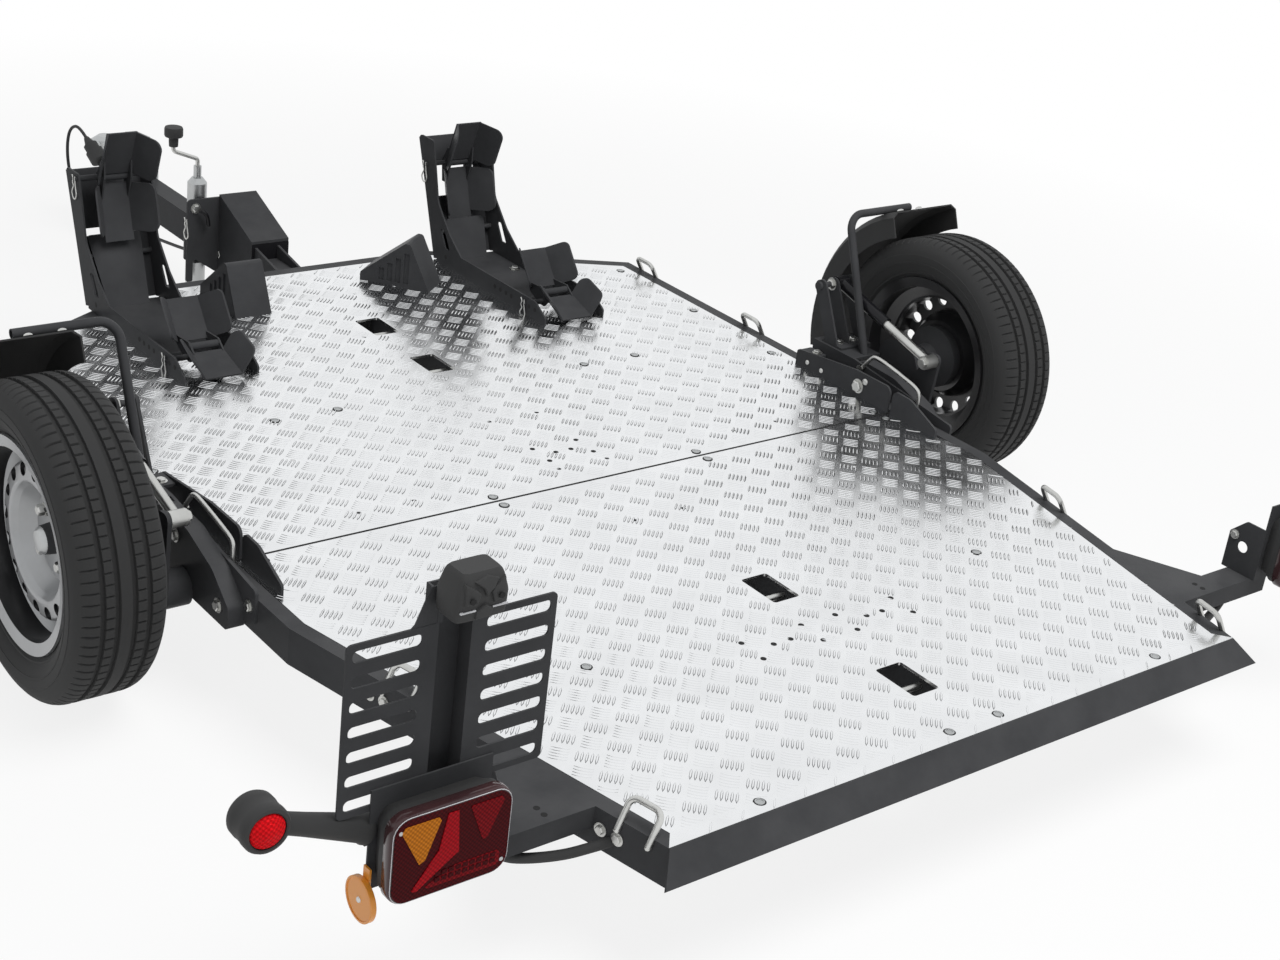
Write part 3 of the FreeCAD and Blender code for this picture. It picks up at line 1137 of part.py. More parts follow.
def chock_jaw(place):
    """The jaw that holds the front of the tyre, carried by the rod of the tower."""
    low, bend, start, high, pin = jaw_points(place)
    s = CRADLE_SHEET
    lower = cheeked(low, bend, JAW_HALF - 2, JAW_HALF - 2, (36.0, -JAW_CHEEK, 10.0), s, 20.0, JAW_TONGUE)
    upper = cheeked(start, high, JAW_HALF, JAW_HALF, (32.0, 10 - JAW_CHEEK, -12.0), s, 20.0)
    ear = [(bend.y - 14, bend.z - 30), (bend.y + 2, bend.z - 30), (pin.y + 12, pin.z + 2), (start.y + 2, start.z + 30)]
    ear = ear + [(start.y - 12, start.z + 30), (pin.y - 24, pin.z + 2)]
    ears = [side_plate(ear, x, s) for x in (CHOCK_X - JAW_HALF + 2, CHOCK_X + JAW_HALF - 2 - s)]
    tube = cylinder(V(CHOCK_X - JAW_HALF, pin.y, pin.z), X_AXIS, PIN_R + 4, 2 * JAW_HALF)
    bore = cylinder(V(CHOCK_X - CHOCK_HALF, pin.y, pin.z), X_AXIS, PIN_R + SEAT_GAP, 2 * CHOCK_HALF)
    return fuse([lower, upper] + ears + [tube]).cut(bore)


def chock_cradle_right():
    """The rocking cradle that the front wheel rolls over and drops into."""
    y = CRADLE_PIVOT_Y
    z = DECK_TOP + CRADLE_PIVOT_Z
    s = CRADLE_SHEET
    front_low = V(0, y + 44.6, z + 13.6)
    front_high = V(0, y + 101.6, z + 84.3)
    rear_high = V(0, y - 17, z + 11)
    rear_low = V(0, CHOCK_REAR_Y - 9, DECK_TOP + RUNNING_GAP)
    front = cheeked(front_low, front_high, CRADLE_HALF, CRADLE_HALF, (34.0, -42.0, 28.0), s, 15.0)
    rear = cheeked(rear_low, rear_high, CRADLE_HALF + 5, CRADLE_HALF, (32.0, 2.0, 48.0), s, 18.0)
    lug = [(y - 26, z + 13), (y - 10, z - 9), (y + 12, z - 9), (y + 48, z + 8), (y + 56, z + 27), (y, z + 31)]
    lugs = [side_plate(lug, x, s, 5.0) for x in (CHOCK_X - CRADLE_HALF + 1, CHOCK_X + CRADLE_HALF - 1 - s)]
    tube = cylinder(V(CHOCK_X - CRADLE_HALF, y, z + 20), X_AXIS, CRADLE_TUBE_R, 2 * CRADLE_HALF)
    axle_x = CHOCK_X - CHOCK_HALF - PIN_PROUD
    axle = cylinder(V(axle_x, y, z), X_AXIS, PIN_R, 2 * (CHOCK_HALF + PIN_PROUD))
    return fuse([front, rear, tube, axle] + lugs)


def wedge(x, y, turn):
    """A loose plastic wedge with ribbed sides."""
    half = WEDGE_WIDTH / 2
    profile = [(0, 0), (WEDGE_LENGTH, 0), (WEDGE_LENGTH, WEDGE_TAIL), (WEDGE_CREST + 12, WEDGE_HEIGHT), (WEDGE_CREST, WEDGE_HEIGHT)]
    body = side_plate(profile, -half, WEDGE_WIDTH, [0, 0, 6, 8, 8])
    grooves = []
    fall = (WEDGE_HEIGHT - WEDGE_TAIL) / (WEDGE_LENGTH - WEDGE_CREST)
    for i in range(4):
        y0 = WEDGE_CREST + 0.17 * i * (WEDGE_LENGTH - WEDGE_CREST)
        height = WEDGE_HEIGHT - 14 - fall * (y0 + 12 - WEDGE_CREST)
        for side in (-1, 1):
            x0 = side * half - 3
            grooves.append(block(x0, x0 + 6, y0, y0 + 12, 10, height))
    body = body.cut(Part.makeCompound(grooves))
    body.rotate(V(0, 0, 0), Z_AXIS, turn)
    body.translate(V(x, y, DECK_TOP))
    return body


SEAM_REAR = SEAM_Y - SEAM_WIDTH / 2
SEAM_FRONT = SEAM_Y + SEAM_WIDTH / 2
REAR_CUTOUTS = [y for y in CUTOUT_YS if y < SEAM_Y]
FRONT_CUTOUTS = [y for y in CUTOUT_YS if y > SEAM_Y]
BOLT_YS = CHOCK_BOLT_YS + SPARE_BOLT_YS
REAR_ROWS = [y for y in BOLT_YS if y < SEAM_Y]
FRONT_ROWS = [y for y in BOLT_YS if y > SEAM_Y]

SINGLE = {
    "front_frame": front_frame,
    "rear_frame": rear_frame,
    "ramp_lip": ramp_lip,
    "deck_plate_rear": lambda: deck_plate(0.0, SEAM_REAR, REAR_CUTOUTS, REAR_HOLES, REAR_ROWS),
    "deck_plate_front": lambda: deck_plate(SEAM_FRONT, FRAME_LENGTH, FRONT_CUTOUTS, FRONT_HOLES, FRONT_ROWS),
    "cross_tubes": cross_tubes,
    "centre_rails": centre_rails,
    "lashing_bars": lashing_bars,
    "drawbar": drawbar,
    "drawbar_bracket": drawbar_bracket,
    "cover_box": cover_box,
    "jack_bracket": jack_bracket,
    "jack_tube": jack_tube,
    "jack_leg": jack_leg,
    "jack_crank": jack_crank,
    "coupling_head": coupling_head,
    "supply_cable": supply_cable,
    "supply_plug": supply_plug,
    "plug_cup": plug_cup,
    "plate_holder": plate_holder,
    "plate_lamp": plate_lamp,
    "chock_stands": lambda: Part.makeCompound([mirror(chock_stand(JAW_SET_LEFT)), chock_stand(JAW_SET_RIGHT)]),
    "chock_jaws": lambda: Part.makeCompound([mirror(chock_jaw(JAW_SET_LEFT)), chock_jaw(JAW_SET_RIGHT)]),
    "stowed_wedges": lambda: Part.makeCompound([wedge(*place) for place in WEDGE_PLACES]),
}

BOTH_SIDES = {
    "lashing_eyes": lashing_eyes_right,
    "inner_wheel_brackets": bracket_inner_right,
    "outer_wheel_brackets": bracket_outer_right,
    "strut_towers": strut_tower_right,
    "mudguards": mudguard_right,
    "mudguard_stays": mudguard_stay_right,
    "lamp_arms": lamp_arm_right,
    "lamp_brackets": lamp_bracket_right,
    "tail_lamps": tail_lamp_right,
    "marker_lamps": marker_lamp_right,
    "side_reflectors": side_reflector_right,
}

EACH_SIDE = {
    "side_frame": side_frame_right,
    "swing_arm": swing_arm_right,
    "shock_body": shock_body_right,
    "shock_rod": shock_rod_right,
    "tyre": tyre_right,
    "rim": rim_right,
    "wheel_disc": wheel_disc_right,
    "hub": hub_right,
    "chock_cradle": chock_cradle_right,
}


def save(name, shape):
    """Write one piece, moved so that the origin is on the ground half way along."""
    shape.translate(V(0, -ORIGIN_Y, 0))
    shape.exportStep(os.path.join("parts", name + ".step"))
    box = shape.BoundBox
    print(name, "solids", len(shape.Solids), "valid", shape.isValid(), "litres", round(shape.Volume / 1e6, 3),
          "z", round(box.ZMin, 1), round(box.ZMax, 1))


os.makedirs("parts", exist_ok=True)
for name, make in SINGLE.items():
    save(name, make())
for name, make in BOTH_SIDES.items():
    piece = make()
    save(name, Part.makeCompound(mirror(piece).Solids + piece.Solids))
for name, make in EACH_SIDE.items():
    piece = make()
    save(name + "_left", mirror(piece))
    save(name + "_right", piece)
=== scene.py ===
"""A low platform trailer for two motorcycles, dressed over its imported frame."""

import math

import bmesh
import bpy
from mathutils import Matrix, Vector


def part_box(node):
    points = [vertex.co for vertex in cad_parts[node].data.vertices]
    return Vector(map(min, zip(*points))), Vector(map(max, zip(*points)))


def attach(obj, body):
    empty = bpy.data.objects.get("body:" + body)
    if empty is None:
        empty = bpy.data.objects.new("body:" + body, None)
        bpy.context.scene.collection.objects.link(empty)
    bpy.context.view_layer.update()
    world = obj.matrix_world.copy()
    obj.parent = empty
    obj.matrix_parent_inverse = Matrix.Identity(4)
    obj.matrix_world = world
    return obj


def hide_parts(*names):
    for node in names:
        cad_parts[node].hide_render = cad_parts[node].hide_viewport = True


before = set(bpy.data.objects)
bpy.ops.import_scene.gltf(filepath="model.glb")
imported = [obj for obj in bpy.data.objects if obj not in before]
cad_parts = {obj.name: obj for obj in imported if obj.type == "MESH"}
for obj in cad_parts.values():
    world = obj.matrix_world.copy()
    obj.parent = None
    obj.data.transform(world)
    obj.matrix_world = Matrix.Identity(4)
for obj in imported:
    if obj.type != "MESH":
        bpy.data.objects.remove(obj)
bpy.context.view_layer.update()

bl_info = {
    "name": "Motorcycle trailer",
    "version": (1, 0, 0),
    "blender": (4, 5, 0),
    "location": "3D View > Sidebar > Trailer",
    "description": "Dresses a platform trailer with its finishes, tread pattern, tyres, lamps and fittings",
    "category": "Object",
}

# Places are in metres. Lengths along the trailer are counted from the rear edge of the deck.
REAR_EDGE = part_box("rear_frame")[0][1]
DECK_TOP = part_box("deck_plate_rear")[1][2]
SEAM_Y = (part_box("deck_plate_rear")[1][1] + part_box("deck_plate_front")[0][1]) / 2 - REAR_EDGE
FRAME_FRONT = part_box("front_frame")[1][1] - REAR_EDGE
SIDE_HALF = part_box("side_frame_right")[1][0]
REAR_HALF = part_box("rear_frame")[1][0]
TYRE_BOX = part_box("tyre_right")
HALF_TRACK = (TYRE_BOX[0][0] + TYRE_BOX[1][0]) / 2
WHEEL_Y = (TYRE_BOX[0][1] + TYRE_BOX[1][1]) / 2 - REAR_EDGE
AXLE_Z = (TYRE_BOX[0][2] + TYRE_BOX[1][2]) / 2
SIDES = (("left", -1), ("right", 1))
X_AXIS = Vector((1, 0, 0))
Y_AXIS = Vector((0, 1, 0))
Z_AXIS = Vector((0, 0, 1))
FRAME_KINK = 0.75


def at(x, y, z):
    """A point from its place across, along from the deck's rear edge, and above the ground."""
    return Vector((x, y + REAR_EDGE, z))


def facing(point, axis):
    """A placing whose own Z points along an axis."""
    turn = Vector(axis).to_track_quat("Z", "Y").to_matrix().to_4x4()
    return Matrix.Translation(point) @ turn


# Mesh building

def skin(bm, rings, closed=False):
    """Faces between rings of points, which are shut at both ends or joined from the last to the first."""
    rings = [[bm.verts.new(point) for point in ring] for ring in rings]
    pairs = list(zip(rings, rings[1:]))
    if closed:
        pairs.append((rings[-1], rings[0]))
    for low, high in pairs:
        for i in range(len(low)):
            j = (i + 1) % len(low)
            bm.faces.new((low[i], low[j], high[j], high[i]))
    if not closed:
        bm.faces.new(rings[0])
        bm.faces.new(rings[-1])


def lathe(bm, profile, place, segments=20, closed=False):
    """A turned form from (radius, height) pairs round the placing's own Z."""
    turns = [2 * math.pi * i / segments for i in range(segments)]
    rings = [[place @ Vector((r * math.cos(a), r * math.sin(a), z)) for a in turns] for r, z in profile]
    skin(bm, rings, closed)


def prism(bm, outline, depth, place):
    """A plate: an outline of (x, y) pairs pushed along the placing's own Z."""
    skin(bm, [[place @ Vector((x, y, z)) for x, y in outline] for z in (0, depth)])


def rounded_outline(x0, x1, y0, y1, radius, steps=6):
    """A rectangle with round corners as (x, y) pairs."""
    points = []
    corners = ((x1 - radius, y1 - radius, 0), (x0 + radius, y1 - radius, 90), (x0 + radius, y0 + radius, 180),
               (x1 - radius, y0 + radius, 270))
    for cx, cy, start in corners:
        for i in range(steps + 1):
            angle = math.radians(start + 90 * i / steps)
            points.append((cx + radius * math.cos(angle), cy + radius * math.sin(angle)))
    return points


def place_piece(name, data, material, body="platform"):
    """Puts a mesh or curve in the scene with its material, on its body."""
    data.materials.append(bpy.data.materials[material])
    obj = bpy.data.objects.new(name, data)
    bpy.context.scene.collection.objects.link(obj)
    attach(obj, body)
    return obj


def piece(name, bm, material, body="platform", angle=35.0):
    """A finished piece from a mesh in the making: shaded, given its material and set on its body."""
    bmesh.ops.recalc_face_normals(bm, faces=bm.faces)
    mesh = bpy.data.meshes.new(name)
    bm.to_mesh(mesh)
    bm.free()
    mesh.shade_smooth()
    mesh.set_sharp_from_angle(angle=math.radians(angle))
    return place_piece(name, mesh, material, body)


def wire(name, routes, radius, material, smooth=True):
    """Bent wires or rods through given points."""
    curve = bpy.data.curves.new(name, "CURVE")
    curve.dimensions = "3D"
    curve.bevel_depth = 1.0
    curve.bevel_resolution = 3
    curve.use_fill_caps = True
    for route in routes:
        spline = curve.splines.new("NURBS" if smooth else "POLY")
        spline.points.add(len(route) - 1)
        for point, place in zip(spline.points, route):
            point.co = (*place, 1.0)
            point.radius = radius
        if smooth:
            spline.order_u = 3
            spline.use_endpoint_u = True
            spline.resolution_u = 6
    return place_piece(name, curve, material)


def hex_bolt(bm, point, axis, size=0.0085, height=None, washer=1.35):
    """A hexagon head on its washer. Size is the radius over the corners."""
    height = height or size * 0.75
    place = facing(point, axis)
    lathe(bm, [(size * washer, 0), (size * washer, 0.0016)], place, 24)
    head = [(size, 0.0014), (size, height * 0.8), (size * 0.8, height)]
    lathe(bm, head, place, 6)


def dome_head(bm, point, axis, radius=0.0095, height=0.0045):
    """A round-headed bolt."""
    curve = [(radius * math.cos(a), height * math.sin(a)) for a in (0, 0.35, 0.7, 1.05, 1.35)]
    lathe(bm, curve, facing(point, axis), 20)


def frame_half(y):
    """Half the width of the platform at a place along it."""
    return min(SIDE_HALF, REAR_HALF + (SIDE_HALF - REAR_HALF) * y / FRAME_KINK)


# Finishes

def group_tree(name, inputs, outputs):
    """An empty shader group with named float sockets."""
    tree = bpy.data.node_groups.new(name, "ShaderNodeTree")
    for label, default in inputs:
        socket = tree.interface.new_socket(name=label, in_out="INPUT", socket_type="NodeSocketFloat")
        socket.default_value = default
    for label in outputs:
        tree.interface.new_socket(name=label, in_out="OUTPUT", socket_type="NodeSocketFloat")
    return tree, tree.nodes.new("NodeGroupInput"), tree.nodes.new("NodeGroupOutput")


def set_inputs(node, **values):
    """Sets a node's inputs by name, with _ for a space."""
    for label, value in values.items():
        node.inputs[label.replace("_", " ")].default_value = value
    return node


def add_node(tree, kind, **values):
    """A node with plain values in its named inputs."""
    return set_inputs(tree.nodes.new(kind), **values)


def split_xyz(tree, vector):
    """The three parts of a vector, by name."""
    node = tree.nodes.new("ShaderNodeSeparateXYZ")
    tree.links.new(vector, node.inputs[0])
    return node.outputs


def scaled(colour, share):
    """A lighter or darker tone of a colour."""
    return [share * c for c in colour]


def add_math(tree, operation, first, second):
    """A maths node fed by sockets or numbers."""
    node = tree.nodes.new("ShaderNodeMath")
    node.operation = operation
    for socket, value in zip(node.inputs, (first, second)):
        if isinstance(value, (int, float)):
            socket.default_value = value
        else:
            tree.links.new(value, socket)
    return node.outputs[0]


def add_range(tree, value, low, high, to_low=0.0, to_high=1.0):
    """A clamped change of range."""
    node = add_node(tree, "ShaderNodeMapRange", From_Min=low, From_Max=high, To_Min=to_low, To_Max=to_high)
    node.clamp = True
    tree.links.new(value, node.inputs["Value"])
    return node.outputs["Result"]


def grain_group():
    """Fine grain, broad clouds and settled dust, for every finish."""
    inputs = (("Grain size", 900.0), ("Cloud size", 6.0))
    tree, entry, leave = group_tree("Grain and clouds", inputs, ("Grain", "Cloud", "Dust"))
    place = tree.nodes.new("ShaderNodeTexCoord").outputs["Object"]
    fine = add_node(tree, "ShaderNodeTexNoise", Detail=4.0)
    broad = add_node(tree, "ShaderNodeTexNoise", Detail=5.0, Roughness=0.6)
    for noise, size, out in ((fine, "Grain size", "Grain"), (broad, "Cloud size", "Cloud")):
        tree.links.new(place, noise.inputs["Vector"])
        tree.links.new(entry.outputs[size], noise.inputs["Scale"])
        tree.links.new(noise.outputs["Fac"], leave.inputs[out])
    normal = tree.nodes.new("ShaderNodeNewGeometry").outputs["Normal"]
    upward = add_range(tree, split_xyz(tree, normal)["Z"], 0.4, 1.0)
    patch = add_range(tree, broad.outputs["Fac"], 0.42, 0.68)
    tree.links.new(add_math(tree, "MULTIPLY", upward, patch), leave.inputs["Dust"])


def scratch_group():
    """Long fine scratches and rolling marks for bare metal."""
    tree, entry, leave = group_tree("Scratches", (("Scratch size", 14.0),), ("Scratch", "Streak"))
    place = tree.nodes.new("ShaderNodeTexCoord").outputs["Object"]
    marks = []
    for turn, share in ((0.5, 1.0), (1.25, 0.7)):
        bend = add_node(tree, "ShaderNodeMapping", Rotation=(0, 0, turn), Scale=(1.0, 0.06 * share, 1.0))
        tree.links.new(place, bend.inputs["Vector"])
        noise = add_node(tree, "ShaderNodeTexNoise", Detail=8.0, Roughness=0.7)
        tree.links.new(bend.outputs["Vector"], noise.inputs["Vector"])
        size = add_math(tree, "MULTIPLY", entry.outputs["Scratch size"], 8.0 * share)
        tree.links.new(size, noise.inputs["Scale"])
        marks.append(noise.outputs["Fac"])
    thin = add_range(tree, add_math(tree, "MULTIPLY", *marks), 0.30, 0.42)
    tree.links.new(thin, leave.inputs["Scratch"])
    tree.links.new(marks[0], leave.inputs["Streak"])


def lens_group():
    """The fine prisms moulded inside a lamp lens."""
    tree, entry, leave = group_tree("Lens prisms", (("Prism pitch", 500.0),), ("Prism",))
    place = split_xyz(tree, tree.nodes.new("ShaderNodeTexCoord").outputs["Object"])
    waves = []
    for axis in ("X", "Z"):
        turn = add_math(tree, "MULTIPLY", place[axis], entry.outputs["Prism pitch"])
        waves.append(add_math(tree, "SINE", turn, 0.0))
    tree.links.new(add_math(tree, "MULTIPLY", *waves), leave.inputs["Prism"])


def place_group(tree, name, **values):
    """Places a shared group in a material with its own values."""
    node = tree.nodes.new("ShaderNodeGroup")
    node.node_tree = bpy.data.node_groups[name]
    return set_inputs(node, **values)


def add_mix(tree, mask, first, second):
    """A colour between two colours by a mask."""
    node = tree.nodes.new("ShaderNodeMix")
    node.data_type = "RGBA"
    tree.links.new(mask, node.inputs[0])
    for socket, value in ((node.inputs[6], first), (node.inputs[7], second)):
        if isinstance(value, (tuple, list)):
            socket.default_value = (*value[:3], 1.0)
        else:
            tree.links.new(value, socket)
    return node.outputs[2]


def new_finish(name, **values):
    """A material with its plain values set on the shader."""
    material = bpy.data.materials.new(name)
    material.use_nodes = True
    tree = material.node_tree
    return tree, set_inputs(tree.nodes["Principled BSDF"], **values)


def add_bump(tree, shader, height, distance):
    """Relief on a material, its depth in metres."""
    bump = add_node(tree, "ShaderNodeBump", Strength=1.0, Distance=distance)
    tree.links.new(height, bump.inputs["Height"])
    tree.links.new(bump.outputs["Normal"], shader.inputs["Normal"])


def grained_finish(name, tones, rough, grain, depth, gloss, dust_share, coat=0.0, cloud=6.0):
    """A painted, moulded or plated finish: two close tones in clouds, thin dust on top, and grain relief."""
    tree, shader = new_finish(name, Coat_Weight=coat, Coat_Roughness=0.1, Specular_IOR_Level=gloss)
    marks = place_group(tree, "Grain and clouds", Grain_size=grain, Cloud_size=cloud)
    tone = add_mix(tree, add_range(tree, marks.outputs["Cloud"], 0.35, 0.65), *tones)
    share = add_math(tree, "MULTIPLY", marks.outputs["Dust"], dust_share)
    tree.links.new(add_mix(tree, share, tone, DUST), shader.inputs["Base Color"])
    tree.links.new(add_range(tree, marks.outputs["Cloud"], 0.3, 0.7, *rough), shader.inputs["Roughness"])
    add_bump(tree, shader, marks.outputs["Grain"], depth)


def bare_metal(name, tones, rough, scratch_depth, scratch=14.0):
    """Bare or plated metal with rolling streaks and fine scratches."""
    tree, shader = new_finish(name, Metallic=1.0)
    marks = place_group(tree, "Grain and clouds", Grain_size=500.0, Cloud_size=9.0)
    lines = place_group(tree, "Scratches", Scratch_size=scratch)
    cloud = add_range(tree, marks.outputs["Cloud"], 0.3, 0.7)
    tree.links.new(add_mix(tree, cloud, *tones), shader.inputs["Base Color"])
    halves = [add_math(tree, "MULTIPLY", part, 0.5) for part in (lines.outputs["Streak"], cloud)]
    spread = add_math(tree, "ADD", *halves)
    tree.links.new(add_range(tree, spread, 0.1, 0.8, *rough), shader.inputs["Roughness"])
    add_bump(tree, shader, lines.outputs["Scratch"], scratch_depth)
    return tree, shader


def wheel_silver_and_painted_shade(name, silver):
    """Silver paint on the outer side of a wheel, and plain black as painted shade on the side towards the frame."""
    tree, shader = new_finish(name, Coat_Weight=0.25, Coat_Roughness=0.15)
    marks = place_group(tree, "Grain and clouds", Grain_size=2200.0, Cloud_size=12.0)
    shape = tree.nodes.new("ShaderNodeNewGeometry")
    normal = split_xyz(tree, shape.outputs["Normal"])
    place = split_xyz(tree, shape.outputs["Position"])
    # Painted shade: only faces that face outwards on the wheel's outer side stay silver, all others get black.
    front = add_math(tree, "GREATER_THAN", add_math(tree, "MULTIPLY", normal["X"], place["X"]), 0.12)
    outer = add_math(tree, "GREATER_THAN", add_math(tree, "ABSOLUTE", place["X"], 0.0), HALF_TRACK - 0.02)
    both = add_math(tree, "MULTIPLY", front, outer)
    tone = add_mix(tree, add_range(tree, marks.outputs["Cloud"], 0.3, 0.7), scaled(silver, 0.82), silver)
    tree.links.new(add_mix(tree, both, INNER_WHEEL_PAINTED_SHADE, tone), shader.inputs["Base Color"])
    tree.links.new(add_math(tree, "MULTIPLY", both, 0.55), shader.inputs["Metallic"])
    tree.links.new(add_range(tree, marks.outputs["Cloud"], 0.3, 0.7, 0.30, 0.40), shader.inputs["Roughness"])
    add_bump(tree, shader, marks.outputs["Grain"], 0.00003)


def bar_metal_and_painted_shade(name, deck):
    """The raised bars: bright bare metal, with painted shade in dark grey on their steep edges, strong on the bars
    turned one way and faint on the others.
    """
    tree, shader = bare_metal(name, (scaled(deck, 0.93), deck), (0.14, 0.26), 0.00003)
    tone = shader.inputs["Base Color"].links[0].from_socket
    normal = split_xyz(tree, tree.nodes.new("ShaderNodeNewGeometry").outputs["True Normal"])
    # Painted shade: steep faces get the dark grey, fully on the long sides of bars turned one way and only faintly on
    # bars turned the other way.
    steep = add_range(tree, normal["Z"], 0.55, 0.92, 1.0, 0.0)
    side = add_math(tree, "MULTIPLY", normal["X"], normal["Y"])
    steep = add_math(tree, "MULTIPLY", steep, add_range(tree, side, -0.05, 0.05, 1.0, 0.04))
    tree.links.new(add_mix(tree, steep, tone, BAR_EDGE_PAINTED_SHADE), shader.inputs["Base Color"])


def lens_finish(name, low, high):
    """A moulded lens with its prisms showing through a gloss face."""
    tree, shader = new_finish(name, Coat_Weight=0.04, Coat_Roughness=0.04, Specular_IOR_Level=0.02, Roughness=0.22)
    prism_node = place_group(tree, "Lens prisms", Prism_pitch=900.0)
    tone = add_mix(tree, add_range(tree, prism_node.outputs["Prism"], -0.5, 0.6), low, high)
    tree.links.new(tone, shader.inputs["Base Color"])
    add_bump(tree, shader, prism_node.outputs["Prism"], 0.0002)


DUST = (0.30, 0.29, 0.27)
# Painted shade on the wheel's side towards the frame.
INNER_WHEEL_PAINTED_SHADE = (0.018, 0.018, 0.019)
# Painted shade on the steep edges of the tread bars.
BAR_EDGE_PAINTED_SHADE = (0.05, 0.05, 0.055)
# Painted shade: near-black tones for holes, recesses and gaps.
HOLE_SHADE_TONES = ((0.004, 0.004, 0.004), (0.01, 0.01, 0.01))
# Name, two tones, roughness, grain size, grain depth, gloss, share of dust and, on the clear ones, coat
GRAINED = (
    ("black_plastic", ((0.016, 0.016, 0.0176), (0.0256, 0.0256, 0.0272)), (0.40, 0.55), 1800.0, 0.00012, 0.03, 0.05),
    ("gloss_black", ((0.0096, 0.0096, 0.0112), (0.0176, 0.0176, 0.0192)), (0.18, 0.30), 900.0, 0.00003, 0.2, 0.04),
    ("cable_rubber", ((0.0128, 0.0128, 0.0144), (0.0224, 0.0224, 0.024)), (0.45, 0.6), 1500.0, 0.00005, 0.35, 0.25),
    ("clear_rim", ((0.032, 0.0144, 0.016), (0.064, 0.0288, 0.0304)), (0.08, 0.16), 60.0, 0.00002, 0.3, 0.0, 0.15),
    ("clear_lens", ((0.52, 0.52, 0.54), (0.70, 0.70, 0.72)), (0.08, 0.16), 300.0, 0.0002, 0.7, 0.0, 0.6),
)
LENS_TONES = {
    "red_lens": ((0.256, 0.0048, 0.0096), (0.448, 0.008, 0.0144)),
    "deep_red_lens": ((0.112, 0.0032, 0.0064), (0.24, 0.0064, 0.0096)),
    "dark_red_lens": ((0.0416, 0.0032, 0.0048), (0.08, 0.0048, 0.0064)),
    "bright_red_lens": ((0.544, 0.0048, 0.008), (0.88, 0.0096, 0.016)),
    "dim_amber_lens": ((0.384, 0.12, 0.0096), (0.64, 0.208, 0.016)),
    "amber_lens": ((0.704, 0.192, 0.0048), (0.9, 0.272, 0.008)),
}


def make_finishes(colours):
    """Every finish of the trailer."""
    grain_group()
    scratch_group()
    lens_group()
    chosen = (colours.frame_paint, colours.deck, colours.rubber, colours.wheel)
    paint, deck, rubber, silver = (list(colour[:3]) for colour in chosen)
    grained_finish("dark_paint", (paint, scaled(paint, 1.35)), (0.34, 0.48), 1400.0, 0.00007, 0.035, 0.05)
    grained_finish("tyre_rubber", (rubber, scaled(rubber, 1.7)), (0.55, 0.75), 700.0, 0.00015, 0.01, 0.01, cloud=20.0)
    for name, *values in GRAINED:
        grained_finish(name, *values)
    bare_metal("tread_aluminium", (scaled(deck, 0.90), deck), (0.13, 0.27), 0.00004)
    bar_metal_and_painted_shade("tread_bar_metal_and_painted_shade", deck)
    bare_metal("zinc", ((0.50, 0.50, 0.48), (0.66, 0.66, 0.64)), (0.24, 0.42), 0.00004, scratch=30.0)
    bare_metal("dull_zinc", ((0.40, 0.41, 0.41), (0.56, 0.57, 0.57)), (0.30, 0.46), 0.00005, scratch=20.0)
    wheel_silver_and_painted_shade("wheel_paint_and_painted_shade", silver)
    for name, (low, high) in LENS_TONES.items():
        lens_finish(name, low, high)
    # Painted shade for holes, recesses and gaps, in near-black clouds.
    tree, shader = new_finish("hole_painted_shade", Roughness=0.8)
    marks = place_group(tree, "Grain and clouds", Grain_size=900.0, Cloud_size=30.0)
    tree.links.new(add_mix(tree, marks.outputs["Cloud"], *HOLE_SHADE_TONES), shader.inputs["Base Color"])


# The nodes that aren't dark paint
FINISH_NODES = {
    "tread_aluminium": ("deck_plate_rear", "deck_plate_front"),
    "zinc": ("lashing_eyes", "lashing_bars", "jack_crank", "shock_rod_left", "shock_rod_right"),
    "dull_zinc": ("jack_tube", "jack_leg", "coupling_head"),
    "wheel_paint_and_painted_shade": ("rim_left", "rim_right", "wheel_disc_left", "wheel_disc_right"),
    "black_plastic": ("mudguards", "marker_lamps", "plate_lamp", "tail_lamps", "supply_plug", "plug_cup"),
    "gloss_black": ("shock_body_left", "shock_body_right"),
    "amber_lens": ("side_reflectors",),
    "tyre_rubber": ("tyre_left", "tyre_right"),
    "cable_rubber": ("supply_cable",),
}


def dress_nodes():
    """Gives every node of the frame its finish."""
    finishes = {node: finish for finish, nodes in FINISH_NODES.items() for node in nodes}
    for name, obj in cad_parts.items():
        material = bpy.data.materials[finishes.get(name, "dark_paint")]
        if not obj.data.materials:
            obj.data.materials.append(material)
        for i in range(len(obj.material_slots)):
            obj.material_slots[i].material = material


# Camera, floor and light

CAMERA_PLACE = (-2.2045, -1.650, 1.8287)
CAMERA_YAW = 0.71657645
CAMERA_PITCH = 0.43641066
CAMERA_ROLL = 0.1266273
CAMERA_LENS = 56.79


def make_camera():
    """The camera at the photograph's place and angle."""
    sy, cy = math.sin(CAMERA_YAW), math.cos(CAMERA_YAW)
    sp, cp = math.sin(CAMERA_PITCH), math.cos(CAMERA_PITCH)
    sr, cr = math.sin(CAMERA_ROLL), math.cos(CAMERA_ROLL)
    forward = Vector((sy * cp, cy * cp, -sp))
    right = Vector((cy, -sy, 0))
    up = right.cross(forward)
    across = cr * right + sr * up
    upward = cr * up - sr * right
    data = bpy.data.cameras.new("camera")
    data.sensor_width = 36.0
    data.lens = CAMERA_LENS
    data.clip_end = 60.0
    obj = bpy.data.objects.new("camera", data)
    turn = Matrix((across, upward, -forward)).transposed().to_4x4()
    obj.matrix_world = Matrix.Translation(at(*CAMERA_PLACE)) @ turn
    bpy.context.scene.collection.objects.link(obj)
    bpy.context.scene.camera = obj


